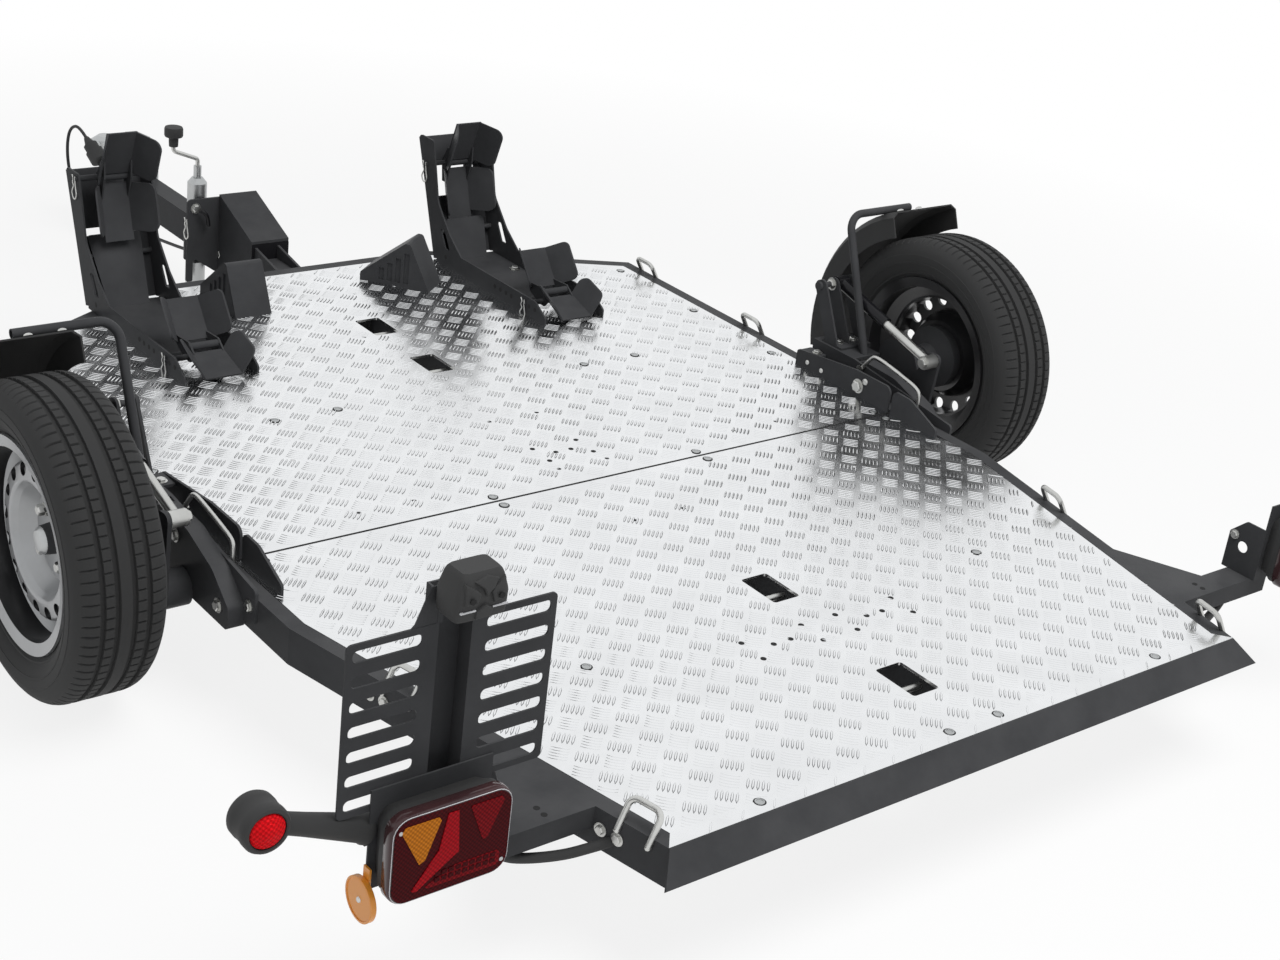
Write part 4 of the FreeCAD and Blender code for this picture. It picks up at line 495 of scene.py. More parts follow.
def white_behind(tree, lit, white, output, share=None):
    """Shows a plain white to the camera, in reflections and through glass, and the lit shader to all else."""
    path = tree.nodes.new("ShaderNodeLightPath")
    seen = path.outputs["Is Camera Ray"]
    for ray in ("Is Glossy Ray", "Is Transmission Ray"):
        seen = add_math(tree, "MAXIMUM", seen, path.outputs[ray])
    if share:
        seen = add_math(tree, "MULTIPLY", seen, share)
    mix = tree.nodes.new("ShaderNodeMixShader")
    tree.links.new(seen, mix.inputs[0])
    tree.links.new(lit.outputs[0], mix.inputs[1])
    tree.links.new(white.outputs[0], mix.inputs[2])
    tree.links.new(mix.outputs[0], output.inputs["Surface"])


FLOOR_Z = -0.0005
FLOOR_TONE = (0.88, 0.88, 0.872, 1.0)
LAMP_AIM = (0, 1.1, 0.2)
# Name, place, width and share of the lamp power
LAMPS = (("overhead_lamp", (0.3, -0.5, 4.2), 3.0, 1.0), ("side_lamp", (-4.0, -1.5, 2.6), 2.2, 0.15))


def make_light(stage):
    """A soft sky, one broad lamp overhead and a weaker one from the camera's side."""
    world = bpy.data.worlds.new("studio")
    bpy.context.scene.world = world
    world.use_nodes = True
    tree = world.node_tree
    sky = set_inputs(tree.nodes["Background"], Color=(0.93, 0.96, 1.0, 1.0), Strength=stage.sky_strength)
    white = add_node(tree, "ShaderNodeBackground", Color=(0.98, 0.99, 1.0, 1.0), Strength=1.0)
    white_behind(tree, sky, white, tree.nodes["World Output"])
    for name, (x, y, z), size, share in LAMPS:
        place = at(x, y, z)
        data = bpy.data.lights.new(name, "AREA")
        data.shape = "DISK"
        data.size = size
        data.energy = share * stage.lamp_power
        obj = bpy.data.objects.new(name, data)
        aim = at(*LAMP_AIM) - place
        obj.matrix_world = Matrix.Translation(place) @ aim.to_track_quat("-Z", "Y").to_matrix().to_4x4()
        obj.visible_glossy = False
        bpy.context.scene.collection.objects.link(obj)


def make_floor(stage):
    """A plain pale floor."""
    bm = bmesh.new()
    half = stage.floor_size / 2
    corners = ((-half, -half), (half, -half), (half, half), (-half, half))
    bm.faces.new([bm.verts.new((x, y, FLOOR_Z)) for x, y in corners])
    mesh = bpy.data.meshes.new("floor")
    bm.to_mesh(mesh)
    bm.free()
    tree, shader = new_finish("floor_pale", Base_Color=FLOOR_TONE, Roughness=0.9, Specular_IOR_Level=0.1)
    reach = tree.nodes.new("ShaderNodeVectorMath")
    reach.operation = "LENGTH"
    tree.links.new(tree.nodes.new("ShaderNodeNewGeometry").outputs["Position"], reach.inputs[0])
    share = add_range(tree, reach.outputs["Value"], 1.6, 3.6, stage.floor_glow, 1.0)
    white = tree.nodes.new("ShaderNodeEmission")
    white_behind(tree, shader, white, tree.nodes["Material Output"], share)
    mesh.materials.append(bpy.data.materials["floor_pale"])
    obj = bpy.data.objects.new("floor", mesh)
    bpy.context.scene.collection.objects.link(obj)


# Supply cable: the points of the route in the part's source

CABLE_RADIUS = 0.004
CABLE_ROUTE = (
    (-0.040, 2.482, 0.136), (-0.040, 2.530, 0.136), (-0.039, 2.600, 0.129), (-0.035, 2.690, 0.112),
    (-0.034, 2.780, 0.098), (-0.036, 2.870, 0.086), (-0.044, 2.955, 0.078), (-0.060, 3.035, 0.076),
    (-0.080, 3.105, 0.088), (-0.090, 3.160, 0.124), (-0.093, 3.183, 0.180), (-0.093, 3.186, 0.235),
    (-0.090, 3.172, 0.276), (-0.084, 3.135, 0.292), (-0.078, 3.104, 0.268),
)


def make_supply_cable():
    """The supply cable that sags under the drawbar and ends in its parked plug."""
    route = [at(*place) for place in CABLE_ROUTE]
    cable = wire("supply_cable_line", [route], CABLE_RADIUS, "cable_rubber")
    cable.data.splines[0].resolution_u = 10
    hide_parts("supply_cable")


# Deck

CUTOUT_YS = (0.173, 0.508, 1.579, 1.800)
DECK_HOLES = ((0.171, 0.330), (0.171, 0.385), (0.124, 0.358), (0.087, 0.358), (0.039, 0.330), (0.039, 0.385),
              (0.052, 1.144), (0.052, 1.087), (0.018, 1.114))
CUTOUT_HALF = (0.029, 0.045)
REAR_GRID = (0.0, 0.584)
FRONT_GRID = (0.033, 1.276)
BAR_PITCH = (0.0597, 0.0583)


BAR_ROWS, BAR_COLUMNS = range(-50, 51), range(-16, 17)
DECK_RIM = 0.029
# The slanting front corners: how far they run across, how deep they are, and half the width in front of them
SHOULDER_RUN, SHOULDER_DEPTH, SHOULDER_HALF = 0.437, 0.242, 0.36
RAIL_OFFSET = 0.0805


def bar_covered(x, y, margin):
    """Whether a tread bar at a place would run under a fitting, over a hole's edge or off the plate."""
    front = FRAME_FRONT - DECK_RIM
    shoulder = SHOULDER_RUN * (front - y) / SHOULDER_DEPTH + SHOULDER_HALF - DECK_RIM
    if abs(x) > frame_half(y) - DECK_RIM - margin or abs(x) > shoulder - 1.3 * margin:
        return True
    if abs(y - SEAM_Y) < 0.002 + margin or y < 0.0115 or y > front - margin:
        return True
    beside_chock = abs(abs(x) - CHOCK_X)
    covers = [abs(x) < CUTOUT_HALF[0] + margin and abs(y - cut) < CUTOUT_HALF[1] + margin for cut in CUTOUT_YS]
    covers += [math.hypot(abs(x) - a, y - b) < 0.0045 + 0.6 * margin for a, b in DECK_HOLES]
    covers += [0.846 < y < 1.28 and abs(abs(x) - 0.7545) < 0.004 + margin,
               1.668 < y < 2.13 and abs(beside_chock - RAIL_OFFSET) < 0.004 + margin,
               1.81 < y < 2.13 and beside_chock < 0.085 + margin]
    return any(covers)


def add_bar(bm, x, y, turn, deck):
    """One raised bar: a steep edge all round and a low ridge on top."""
    place = Matrix.Translation(at(x, y, DECK_TOP)) @ Matrix.Rotation(turn, 4, "Z")
    edge, share = (0.0009, 1.0) if turn > 0 else (0.0004, 0.6)
    height = share * deck.bar_height
    rings = []
    for inset, level in ((0.0, 0.0), (edge, 0.7)):
        l, w = deck.bar_length / 2 - 1.5 * inset, deck.bar_width / 2 - inset
        ring = [(-l, 0), (-0.5 * l, -w), (0.5 * l, -w), (l, 0), (0.5 * l, w), (-0.5 * l, w)]
        rings.append([bm.verts.new(place @ Vector((a, b, level * height))) for a, b in ring])
    low, top = rings
    crest = [bm.verts.new(place @ Vector((s * 0.3 * deck.bar_length, 0, height))) for s in (-1, 1)]
    for i in range(6):
        j = (i + 1) % 6
        bm.faces.new((low[i], low[j], top[j], top[i]))
    for corners, ends in (((0, 1), (0,)), ((1, 2), (1, 0)), ((2, 3), (1,)), ((3, 4), (1,)), ((4, 5), (0, 1)),
                          ((5, 0), (0,))):
        bm.faces.new([top[i] for i in corners] + [crest[i] for i in ends])


def make_tread(deck):
    """The five-bar pattern on both deck plates, and the rear plate's bent edge."""
    plates = (("rear_plate_bars", REAR_GRID, 0.0, SEAM_Y), ("front_plate_bars", FRONT_GRID, SEAM_Y, FRAME_FRONT))
    groups = [(row, column, half, math.radians(turn)) for row in BAR_ROWS for column in BAR_COLUMNS
              for half, turn in ((0.0, 45), (0.5, -45))]
    for name, (x0, y0), low, high in plates:
        bm = bmesh.new()
        for row, column, half, turn in groups:
            x = x0 + (column + half) * BAR_PITCH[0]
            y = y0 + (row + half) * BAR_PITCH[1]
            if not low < y < high:
                continue
            step = Vector((-math.sin(turn), math.cos(turn))) * deck.bar_spacing
            for i in range(-2, 3):
                bx, by = x + i * step.x, y + i * step.y
                if low + 0.004 < by < high and not bar_covered(bx, by, 0.36 * deck.bar_length):
                    add_bar(bm, bx, by, turn, deck)
        piece(name, bm, "tread_bar_metal_and_painted_shade", angle=25.0)
    bm = bmesh.new()
    back, front = 0.0015, 0.0292
    slope = (SIDE_HALF - REAR_HALF) / FRAME_KINK
    wide, narrow = REAR_HALF + slope * back, REAR_HALF + slope * front - 0.03
    outline = [(-wide, back), (wide, back), (narrow, front), (-narrow, front)]
    prism(bm, outline, 0.0006, Matrix.Translation(at(0, 0, DECK_TOP + 0.0001)))
    piece("rear_plate_edge", bm, "tread_aluminium")


DECK_SCREWS = ((0.055, 0.025), (0.445, 0.025), (0.24, 1.002), (0.24, 0.966), (0.725, 1.002), (0.725, 0.964),
               (0.437, 1.452), (0.74, 1.345), (0.74, 1.619), (0.74, 1.898), (0.30, 1.452), (0.445, 0.44))


def make_deck_screws():
    """Round heads that hold the deck plates down, with painted shade as a dark ring round each, as dark discs over
    the small holes and as a dark strip along the seam.
    """
    heads, seats, rims = bmesh.new(), bmesh.new(), bmesh.new()
    seat = [(0.0100, 0.0), (0.0100, 0.0007), (0.0094, 0.0009)]
    head = [(0.0080, 0.0006), (0.0077, 0.0016), (0.0052, 0.0023), (0.0048, 0.0014), (0.0012, 0.0014)]
    for x, y in DECK_SCREWS:
        for side in (-1, 1):
            place = facing(at(side * x, y, DECK_TOP), Z_AXIS)
            lathe(seats, seat, place, 28)
            lathe(heads, head, place, 28)
    piece("deck_screws", heads, "dull_zinc")
    # Painted shade: a dark ring round each screw head.
    piece("deck_screw_seat_shades", seats, "hole_painted_shade")
    # Painted shade: dark discs over the small holes and a dark strip along the seam.
    for x, y in DECK_HOLES:
        for side in (-1, 1):
            lathe(rims, [(0.0052, 0.0), (0.0052, 0.0003)], facing(at(side * x, y, DECK_TOP), Z_AXIS), 20)
    half_x, half_y = frame_half(SEAM_Y) - 0.03, 0.0022
    seam = [(s * half_x, SEAM_Y + t * half_y) for s, t in ((-1, -1), (1, -1), (1, 1), (-1, 1))]
    prism(rims, seam, 0.0003, Matrix.Translation(at(0, 0, DECK_TOP + 0.0001)))
    piece("deck_hole_and_seam_shades", rims, "hole_painted_shade")


# Frame fittings

EYE_YS = (0.058, 0.511, 1.470, 1.860)
EYE_BOLT_SHIFTS = (0.029, 0.059)
EYE_BOLT_Z = 0.191


def make_eye_screws():
    """Two bolts below each lashing eye, through the side frame."""
    bm = bmesh.new()
    for y in EYE_YS:
        for side in (-1, 1):
            for dy in EYE_BOLT_SHIFTS:
                place = at(side * frame_half(y + dy), y + dy, EYE_BOLT_Z)
                slant = (frame_half(y + 0.01) - frame_half(y)) / 0.01
                hex_bolt(bm, place, Vector((side, -slant, 0)), 0.0075, washer=1.45)
    piece("eye_bolts", bm, "zinc")


def make_gusset_holes():
    """Painted shade as dark discs for the two small holes where each lamp arm meets the frame."""
    bm = bmesh.new()
    for side in (-1, 1):
        for x, y in ((0.735, 0.148), (0.735, 0.166)):
            lathe(bm, [(0.005, 0.0), (0.005, 0.0004)], facing(at(side * x, y, DECK_TOP), Z_AXIS), 20)
    piece("gusset_hole_shades", bm, "hole_painted_shade")


# Wheel brackets and suspension: how far out the faces stand that their bolts sit on

BRACKET_FACE = 0.752
ARM_FACE = 0.902


def make_bracket_bolts():
    """The bolts of the wheel brackets, the strut towers and the mudguards."""
    bm = bmesh.new()
    for side in (-1, 1):
        out = Vector((side, 0, 0))
        back = Vector((-side, 0, 0))
        for y, z in ((1.242, 0.238), (1.197, 0.236)):
            dome_head(bm, at(side * BRACKET_FACE, y, z), back, 0.0055, 0.003)
        hex_bolt(bm, at(side * BRACKET_FACE, 1.082, 0.246), back, 0.0125, washer=1.25)
        dome_head(bm, at(side * BRACKET_FACE, 1.064, 0.262), back, 0.0075, 0.004)
        hex_bolt(bm, at(side * 0.776, 1.240, 0.257), Z_AXIS, 0.0085)
        for y, z in ((1.245, 0.205), (0.868, 0.205)):
            hex_bolt(bm, at(side * 0.803, y, z), out, 0.0085)
        for y, z in ((0.915, 0.190), (1.128, 0.215), (1.069, 0.246)):
            hex_bolt(bm, at(side * 0.833, y, z), out, 0.0095)
        for x, y in ((0.824, 1.226), (0.866, 1.226)):
            hex_bolt(bm, at(side * x, y, 0.280), Z_AXIS, 0.0085)
        hex_bolt(bm, at(side * 0.8387, 1.290, 0.392), back, 0.0105)
        hex_bolt(bm, at(side * 0.905, 1.290, 0.392), out, 0.0095)
    piece("bracket_bolts", bm, "zinc")


def make_lock_rods():
    """The bent rod and its tab beside each wheel bracket."""
    routes = []
    bm = bmesh.new()
    for side in (-1, 1):
        x = side * 0.7925
        points = ((1.120, 0.262), (1.095, 0.300), (1.080, 0.307), (1.033, 0.300), (0.990, 0.292), (0.951, 0.284),
                  (0.944, 0.270), (0.946, 0.228))
        routes.append([at(x, y, z) for y, z in points])
        outline = rounded_outline(-0.009, 0.009, -0.014, 0.014, 0.006)
        prism(bm, outline, 0.003, facing(at(x - side * 0.005, 1.120, 0.258), Vector((side, 0, 0))))
    wire("lock_rods", routes, 0.0042, "zinc")
    piece("lock_rod_tabs", bm, "zinc")


def make_arm_fittings():
    """The pivot nut on each swing arm and the bolt of its shock absorber."""
    for name, side in SIDES:
        out = Vector((side, 0, 0))
        bm = bmesh.new()
        hex_bolt(bm, at(side * ARM_FACE, 1.035, 0.168), out, 0.021, 0.014, washer=1.2)
        hex_bolt(bm, at(side * ARM_FACE, WHEEL_Y - 0.05, 0.225), out, 0.009)
        piece("arm_nuts_" + name, bm, "zinc", body="arm_" + name)
        bm = bmesh.new()
        hex_bolt(bm, at(side * 0.8505, 1.000, 0.315), -out, 0.0105)
        piece("shock_bolt_" + name, bm, "zinc", body="shock_rod_" + name)


def make_guard_bolts():
    """The bolts that hold each mudguard to its stay."""
    bm = bmesh.new()
    angle = math.radians(64.0)
    reach = 0.325
    normal = Vector((0, math.cos(angle), math.sin(angle)))
    for side in (-1, 1):
        for x in (0.955, 1.012):
            place = at(side * x, WHEEL_Y, AXLE_Z) + normal * (reach + 0.0005)
            shift = Vector((0, -math.sin(angle), math.cos(angle))) * 0.017
            dome_head(bm, place + shift, normal, 0.0075, 0.004)
    piece("guard_bolts", bm, "zinc")


# Wheels

SLOT_DEPTH = 0.0035
BOLT_CIRCLE = 0.05
# Each groove round the tyre, from its near edge to its far one
GROOVES = ((0.010, 0.018), (0.034, 0.042))
TYRE_SIDE = ((0.165, 0.0565), (0.172, 0.0585), (0.183, 0.0605), (0.188, 0.0640), (0.1895, 0.0665), (0.193, 0.0668),
             (0.195, 0.0690), (0.204, 0.0740), (0.212, 0.0775), (0.2125, 0.0785), (0.2155, 0.0790), (0.216, 0.0783),
             (0.222, 0.0795), (0.232, 0.0796), (0.2325, 0.0786), (0.241, 0.0772), (0.248, 0.0735), (0.254, 0.0690))


def tyre_points():
    """The tyre's outline from the outer bead to the inner one: radius, place across, and which rib it is on."""
    crown = [(0.2585, 0.0640, 3), (0.2620, 0.0580, 3), (0.2638, 0.0520, 3), (0.2646, 0.0470, 3)]
    for near, far in reversed(GROOVES):
        crown = crown + [(0.2648, far + 0.0008, 3 if far > 0.03 else 2), (0.2590, far, 0), (0.2590, near, 0)]
        crown = crown + [(0.2650, near - 0.0008, 2 if far > 0.03 else 1)]
    side = [(r, x, 0) for r, x in TYRE_SIDE]
    outer = side + crown
    inner = [(r, -x, rib) for r, x, rib in reversed(outer)]
    inside = [(0.172, -0.045, 0), (0.205, -0.066, 0), (0.245, -0.058, 0), (0.251, 0.0, 0), (0.245, 0.058, 0),
              (0.205, 0.066, 0), (0.172, 0.045, 0)]
    return outer + inner + inside


def make_tyre(name, side, wheels):
    """A road tyre with four grooves round it, slots across its ribs and rings on its sides."""
    points = tyre_points()
    steps = 8 * wheels.tread_blocks
    rings = []
    for step in range(steps):
        angle = 2 * math.pi * step / steps
        ring = []
        for r, x, rib in points:
            slot = (rib == 3 and step % 8 == 0) or (rib == 2 and step % 8 == 4)
            radius = r - (SLOT_DEPTH if slot else 0.0)
            y, z = WHEEL_Y + radius * math.cos(angle), AXLE_Z + radius * math.sin(angle)
            ring.append(at(side * HALF_TRACK + x, y, z))
        rings.append(ring)
    bm = bmesh.new()
    skin(bm, rings, closed=True)
    tyre = piece("road_tyre_" + name, bm, "tyre_rubber", body="wheel_" + name, angle=28.0)
    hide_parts("tyre_" + name)


def make_wheel_fittings(name, side):
    """Wheel bolts, the valve and the hub cap."""
    out = Vector((side, 0, 0))
    face = side * (HALF_TRACK - 0.002)
    bm = bmesh.new()
    for i in range(4):
        angle = math.radians(45 + 90 * i)
        place = at(face, WHEEL_Y + BOLT_CIRCLE * math.cos(angle), AXLE_Z + BOLT_CIRCLE * math.sin(angle))
        lathe(bm, [(0.0125, -0.001), (0.0125, 0.003), (0.0105, 0.006)], facing(place, out), 20)
        lathe(bm, [(0.0098, 0.005), (0.0098, 0.015), (0.0075, 0.018)], facing(place, out), 6)
    piece("wheel_bolts_" + name, bm, "zinc", body="wheel_" + name)
    bm = bmesh.new()
    cap_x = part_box("hub_" + name)[1 if side > 0 else 0][0]
    cap = [(0.0245, -0.026), (0.0245, -0.012), (0.0225, -0.005), (0.017, 0.0005), (0.006, 0.002)]
    lathe(bm, cap, facing(at(cap_x, WHEEL_Y, AXLE_Z), out), 32)
    piece("hub_cap_" + name, bm, "dull_zinc", body="wheel_" + name)
    bm = bmesh.new()
    valve_at = at(side * (HALF_TRACK + 0.022), WHEEL_Y - 0.088, AXLE_Z + 0.108)
    lean = Vector((side * 0.85, 0.33, -0.40))
    lathe(bm, [(0.0062, -0.006), (0.0062, 0.006), (0.0045, 0.010), (0.0042, 0.026), (0.0036, 0.028), (0.0036, 0.033)],
          facing(valve_at, lean), 16)
    piece("valve_" + name, bm, "black_plastic", body="wheel_" + name)


# Drawbar group

def make_jack_fittings():
    """The knob of the crank, the jack plate's bolts, the clamp lever and the spring pin."""
    low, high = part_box("jack_crank")
    knob = Vector((low[0] + 0.020, (low[1] + high[1]) / 2, high[2]))
    bm = bmesh.new()
    outline = [(0.0104, -0.0445), (0.0110, -0.034), (0.0112, -0.0215), (0.0200, -0.0212), (0.0214, -0.018),
               (0.0214, -0.003), (0.0198, 0.0010), (0.008, 0.0016)]
    lathe(bm, outline, Matrix.Translation(knob), 24)
    piece("crank_knob", bm, "black_plastic", body="jack_crank")
    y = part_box("jack_bracket")[0][1]
    bm = bmesh.new()
    hex_bolt(bm, Vector((-0.100, y, 0.290)), -Y_AXIS, 0.0095)
    piece("jack_plate_bolts", bm, "zinc")
    lever = [(-0.094, y - 0.016, 0.288), (-0.086, y - 0.020, 0.284), (-0.078, y - 0.020, 0.272),
             (-0.074, y - 0.016, 0.250)]
    wire("clamp_lever", [[Vector(p) for p in lever]], 0.0045, "gloss_black")
    wire("jack_clip", [clip_route(-0.122, y - REAR_EDGE - 0.004, 0.252, -X_AXIS)], 0.0015, "zinc")
    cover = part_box("cover_box")
    bm = bmesh.new()
    face = Matrix(((1, 0, 0, 0), (0, 0, -1, cover[0][1] - 0.0002), (0, 1, 0, 0), (0, 0, 0, 1)))
    prism(bm, rounded_outline(cover[0][0], cover[1][0], 0.155, 0.2478, 0.004), 0.0014, face)
    piece("cover_skirt", bm, "gloss_black")


def make_drawbar_bolts():
    """Bolts through the drawbar's clasping plates and the coupling head."""
    low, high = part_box("drawbar_bracket")
    start = low[1] - REAR_EDGE
    bm = bmesh.new()
    for side in (-1, 1):
        out = Vector((side, 0, 0))
        for dy in (0.05, 0.27):
            hex_bolt(bm, at(side * high[0], start + dy, 0.170), out, 0.0115)
        for y in (2.945, 3.000):
            hex_bolt(bm, at(side * 0.034, y, 0.190), out, 0.0115)
    piece("drawbar_bolts", bm, "zinc")


# Lamps

LAMP_BOX = (0.852, 1.036, 0.226, 0.360)
LAMP_FACE = 0.070
# Margin, corner radius and depth behind the face
SHELL_STEPS = ((0.0030, 0.025, 0.0000), (0.0006, 0.026, 0.0022), (0.0, 0.026, 0.0060), (0.0, 0.026, 0.0180),
               (0.0020, 0.025, 0.0200))
HOUSING_STEPS = ((0.0025, 0.025, 0.0198), (0.0025, 0.025, 0.0300), (0.0080, 0.022, 0.0400), (0.0120, 0.020, 0.0515))
# Name, finish, depth and outline in shares of the lamp's face
LAMP_FIELDS = (
    ("dim_amber_lens", "dim_amber_lens", 0.0010,
     ((0.96, 0.88), (0.93, 0.94), (0.64, 0.94), (0.62, 0.90), (0.74, 0.45), (0.79, 0.42))),
    ("red_lens", "red_lens", 0.0012,
     ((0.56, 0.95), (0.47, 0.95), (0.44, 0.42), (0.47, 0.40), (0.80, 0.08), (0.84, 0.10), (0.62, 0.52))),
    ("deep_red_lens", "deep_red_lens", 0.0010,
     ((0.36, 0.94), (0.33, 0.95), (0.08, 0.95), (0.06, 0.90), (0.19, 0.48), (0.23, 0.47))),
    ("foot", "deep_red_lens", 0.0006,
     ((0.46, 0.26), (0.08, 0.26), (0.06, 0.22), (0.06, 0.10), (0.09, 0.07), (0.70, 0.07), (0.72, 0.10))),
)
# Share of the hood's height, with its width and depth there
HOOD_LEVELS = ((0.0, 0.92, 0.82), (0.05, 0.98, 0.94), (0.18, 1.0, 1.0), (0.50, 1.0, 1.0), (0.58, 0.97, 0.97),
               (0.84, 0.85, 0.82), (0.91, 0.80, 0.74), (0.96, 0.72, 0.64))
HOOD_PANELS = (
    ((-0.031, 0.028), (-0.012, 0.024), (-0.007, 0.040), (-0.012, 0.046), (-0.030, 0.056)),
    ((0.031, 0.028), (0.012, 0.024), (0.007, 0.040), (0.012, 0.046), (0.030, 0.056)),
    ((-0.012, 0.004), (0.012, 0.004), (0.013, 0.017), (0.0, 0.026), (-0.013, 0.017)),
    ((0.0, 0.035), (0.012, 0.044), (0.020, 0.056), (0.004, 0.061), (-0.016, 0.056), (-0.004, 0.046)),
)
# Radius and height of the marker lamps' lenses and of their rubber rings
MARKER_DOME = ((0.0245, -0.001), (0.0243, 0.002), (0.0225, 0.0042), (0.0195, 0.0048), (0.0185, 0.0062),
               (0.0140, 0.0070), (0.0130, 0.0082), (0.0080, 0.0086), (0.0070, 0.0094), (0.0012, 0.0096))
MARKER_RING = ((0.0255, 0.0030), (0.0275, 0.0042), (0.0310, 0.0030), (0.0332, -0.0010), (0.0334, -0.0110),
               (0.0326, -0.0135), (0.0326, -0.0285), (0.0334, -0.0310), (0.0332, -0.0410), (0.0310, -0.0450),
               (0.0275, -0.0460), (0.0255, -0.0450))


def add_panel(bm, outline, depth, side, lift=0.0):
    """A lens panel on the rear face of a tail lamp, from (across, up) pairs of the right lamp."""
    skin(bm, [[at(side * x, LAMP_FACE - lift - d, z) for x, z in outline] for d in (0, depth)])


def lamp_outline(margin, radius):
    """The right tail lamp's outline moved inwards, as (across, up) pairs."""
    x0, x1, z0, z1 = LAMP_BOX
    return rounded_outline(x0 + margin, x1 - margin, z0 + margin, z1 - margin, radius)


def make_tail_lamp_bodies():
    """Each tail lamp's front shell, with a painted highlight as a light grey line round its front edge, on its
    narrower black housing.
    """
    front, housing = bmesh.new(), bmesh.new()
    edges = []
    for side in (-1, 1):
        for bm, steps in ((front, SHELL_STEPS), (housing, HOUSING_STEPS)):
            skin(bm, [[at(side * x, LAMP_FACE + depth, z) for x, z in lamp_outline(margin, radius)]
                      for margin, radius, depth in steps])
        line = [at(side * x, LAMP_FACE + 0.0004, z) for x, z in lamp_outline(0.0022, 0.025)]
        edges.append(line + [line[0]])
    body = piece("tail_lamp_housings", housing, "black_plastic")
    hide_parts("tail_lamps")
    piece("tail_lamp_shells", front, "clear_rim", angle=50.0)
    # Painted highlight: a thin light grey wire round each lamp's front edge.
    wire("tail_lamp_edge_highlights", edges, 0.0006, "clear_lens", smooth=False)


def make_tail_lamp_lenses():
    """The lens fields: dark red all over, amber and red triangles that point down, a bright one that points up."""
    x0, x1, z0, z1 = LAMP_BOX

    def on_lamp(shape):
        """Shares of the lamp's face as (across, up) pairs."""
        return [(x0 + 0.006 + u * (x1 - x0 - 0.012), z0 + 0.006 + v * (z1 - z0 - 0.012)) for u, v in shape]

    bm = bmesh.new()
    for side in (-1, 1):
        add_panel(bm, lamp_outline(0.0042, 0.0225), 0.0016, side)
    piece("tail_lamp_field", bm, "dark_red_lens")
    for name, finish, depth, shape in LAMP_FIELDS:
        bm = bmesh.new()
        for side in (-1, 1):
            add_panel(bm, on_lamp(shape), depth, side, 0.0016)
        piece("tail_lamp_" + name, bm, finish)
    cells, screws = bmesh.new(), bmesh.new()
    for side in (-1, 1):
        for row in range(2):
            for column in range(9):
                u, v = 0.10 + 0.062 * column, 0.12 + 0.075 * row
                cell = [(u, v), (u + 0.045, v), (u + 0.045, v + 0.052), (u, v + 0.052)]
                add_panel(cells, on_lamp(cell), 0.0006, side, 0.0022)
        for x, z in ((x0 + 0.012, z0 + 0.020), (x1 - 0.012, z1 - 0.020)):
            dome_head(screws, at(side * x, LAMP_FACE - 0.0016, z), -Y_AXIS, 0.0032, 0.0012)
    piece("tail_lamp_cells", cells, "dark_red_lens")
    piece("tail_lamp_screws", screws, "dull_zinc")


def make_plate_lamp():
    """The rounded hood of the number plate lamp with its raised panels, dark discs of painted shade where its screws
    sit, windows and wing.
    """
    low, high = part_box("plate_lamp")
    cx, cy = (low[0] + high[0]) / 2, (low[1] + high[1]) / 2
    half_x, half_y = (high[0] - low[0]) / 2, (high[1] - low[1]) / 2
    foot, height = low[2] + 0.024, high[2] - low[2] - 0.018

    def pull(share):
        """How far the front draws in below its brow."""
        return 1.0 - 0.22 * max(0.0, 0.62 - share)

    def face_y(up):
        """The hood's front at this height."""
        share = up / height
        for (a, _, near), (b, _, far) in zip(HOOD_LEVELS, HOOD_LEVELS[1:]):
            if a <= share <= b:
                along = near + (far - near) * (share - a) / (b - a)
        return cy - half_y * along * pull(share)

    sections = []
    for share, across, along in HOOD_LEVELS:
        ring = []
        for i in range(40):
            c, d = math.cos(2 * math.pi * i / 40), math.sin(2 * math.pi * i / 40)
            x = cx + half_x * across * math.copysign(abs(c) ** 0.28, c)
            reach = half_y * along * (pull(share) if d < 0 else 1.0)
            ring.append(Vector((x, cy + reach * math.copysign(abs(d) ** 0.28, d), foot + share * height)))
        sections.append(ring)
    hood_bm, panels, screws, windows, wing = (bmesh.new() for _ in range(5))
    skin(hood_bm, sections)
    hood = piece("plate_lamp_hood", hood_bm, "black_plastic", angle=22.0)
    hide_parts("plate_lamp")
    for outline in HOOD_PANELS:
        mx = sum(a for a, b in outline) / len(outline)
        mz = sum(b for a, b in outline) / len(outline)
        skin(panels, [[Vector((cx + mx + shrink * (a - mx), face_y(b) - out, foot + mz + shrink * (b - mz)))
                       for a, b in outline] for shrink, out in ((1.0, -0.001), (0.90, 0.0030), (0.70, 0.0040))])
    piece("plate_lamp_panels", panels, "black_plastic", angle=20.0)
    window = rounded_outline(-0.0115, 0.0115, -0.0012, 0.0012, 0.0011)
    for side in (-1, 1):
        place = Vector((cx + side * 0.0210, face_y(0.034) - 0.0036, low[2] + 0.058))
        lathe(screws, [(0.0040, 0.0), (0.0040, 0.0022)], facing(place, -Y_AXIS), 20)
        place = Vector((cx + side * 0.0235, face_y(0.018) + 0.001, low[2] + 0.0415))
        prism(windows, window, 0.0022, facing(place, -Y_AXIS))
    # Painted shade: dark discs where the screws sit in the hood.
    piece("plate_lamp_screw_shades", screws, "hole_painted_shade")
    piece("plate_lamp_windows", windows, "clear_lens")
    corners = ((-0.066, 0.5945), (-0.060, 0.600), (-0.040, 0.648), (-0.020, 0.648), (-0.020, 0.5945))
    skin(wing, [[Vector((cx + x, high[1] + 0.0005 + shift, z)) for x, z in corners] for shift in (0.0, 0.002)])
    piece("plate_lamp_wing", wing, "dark_paint")


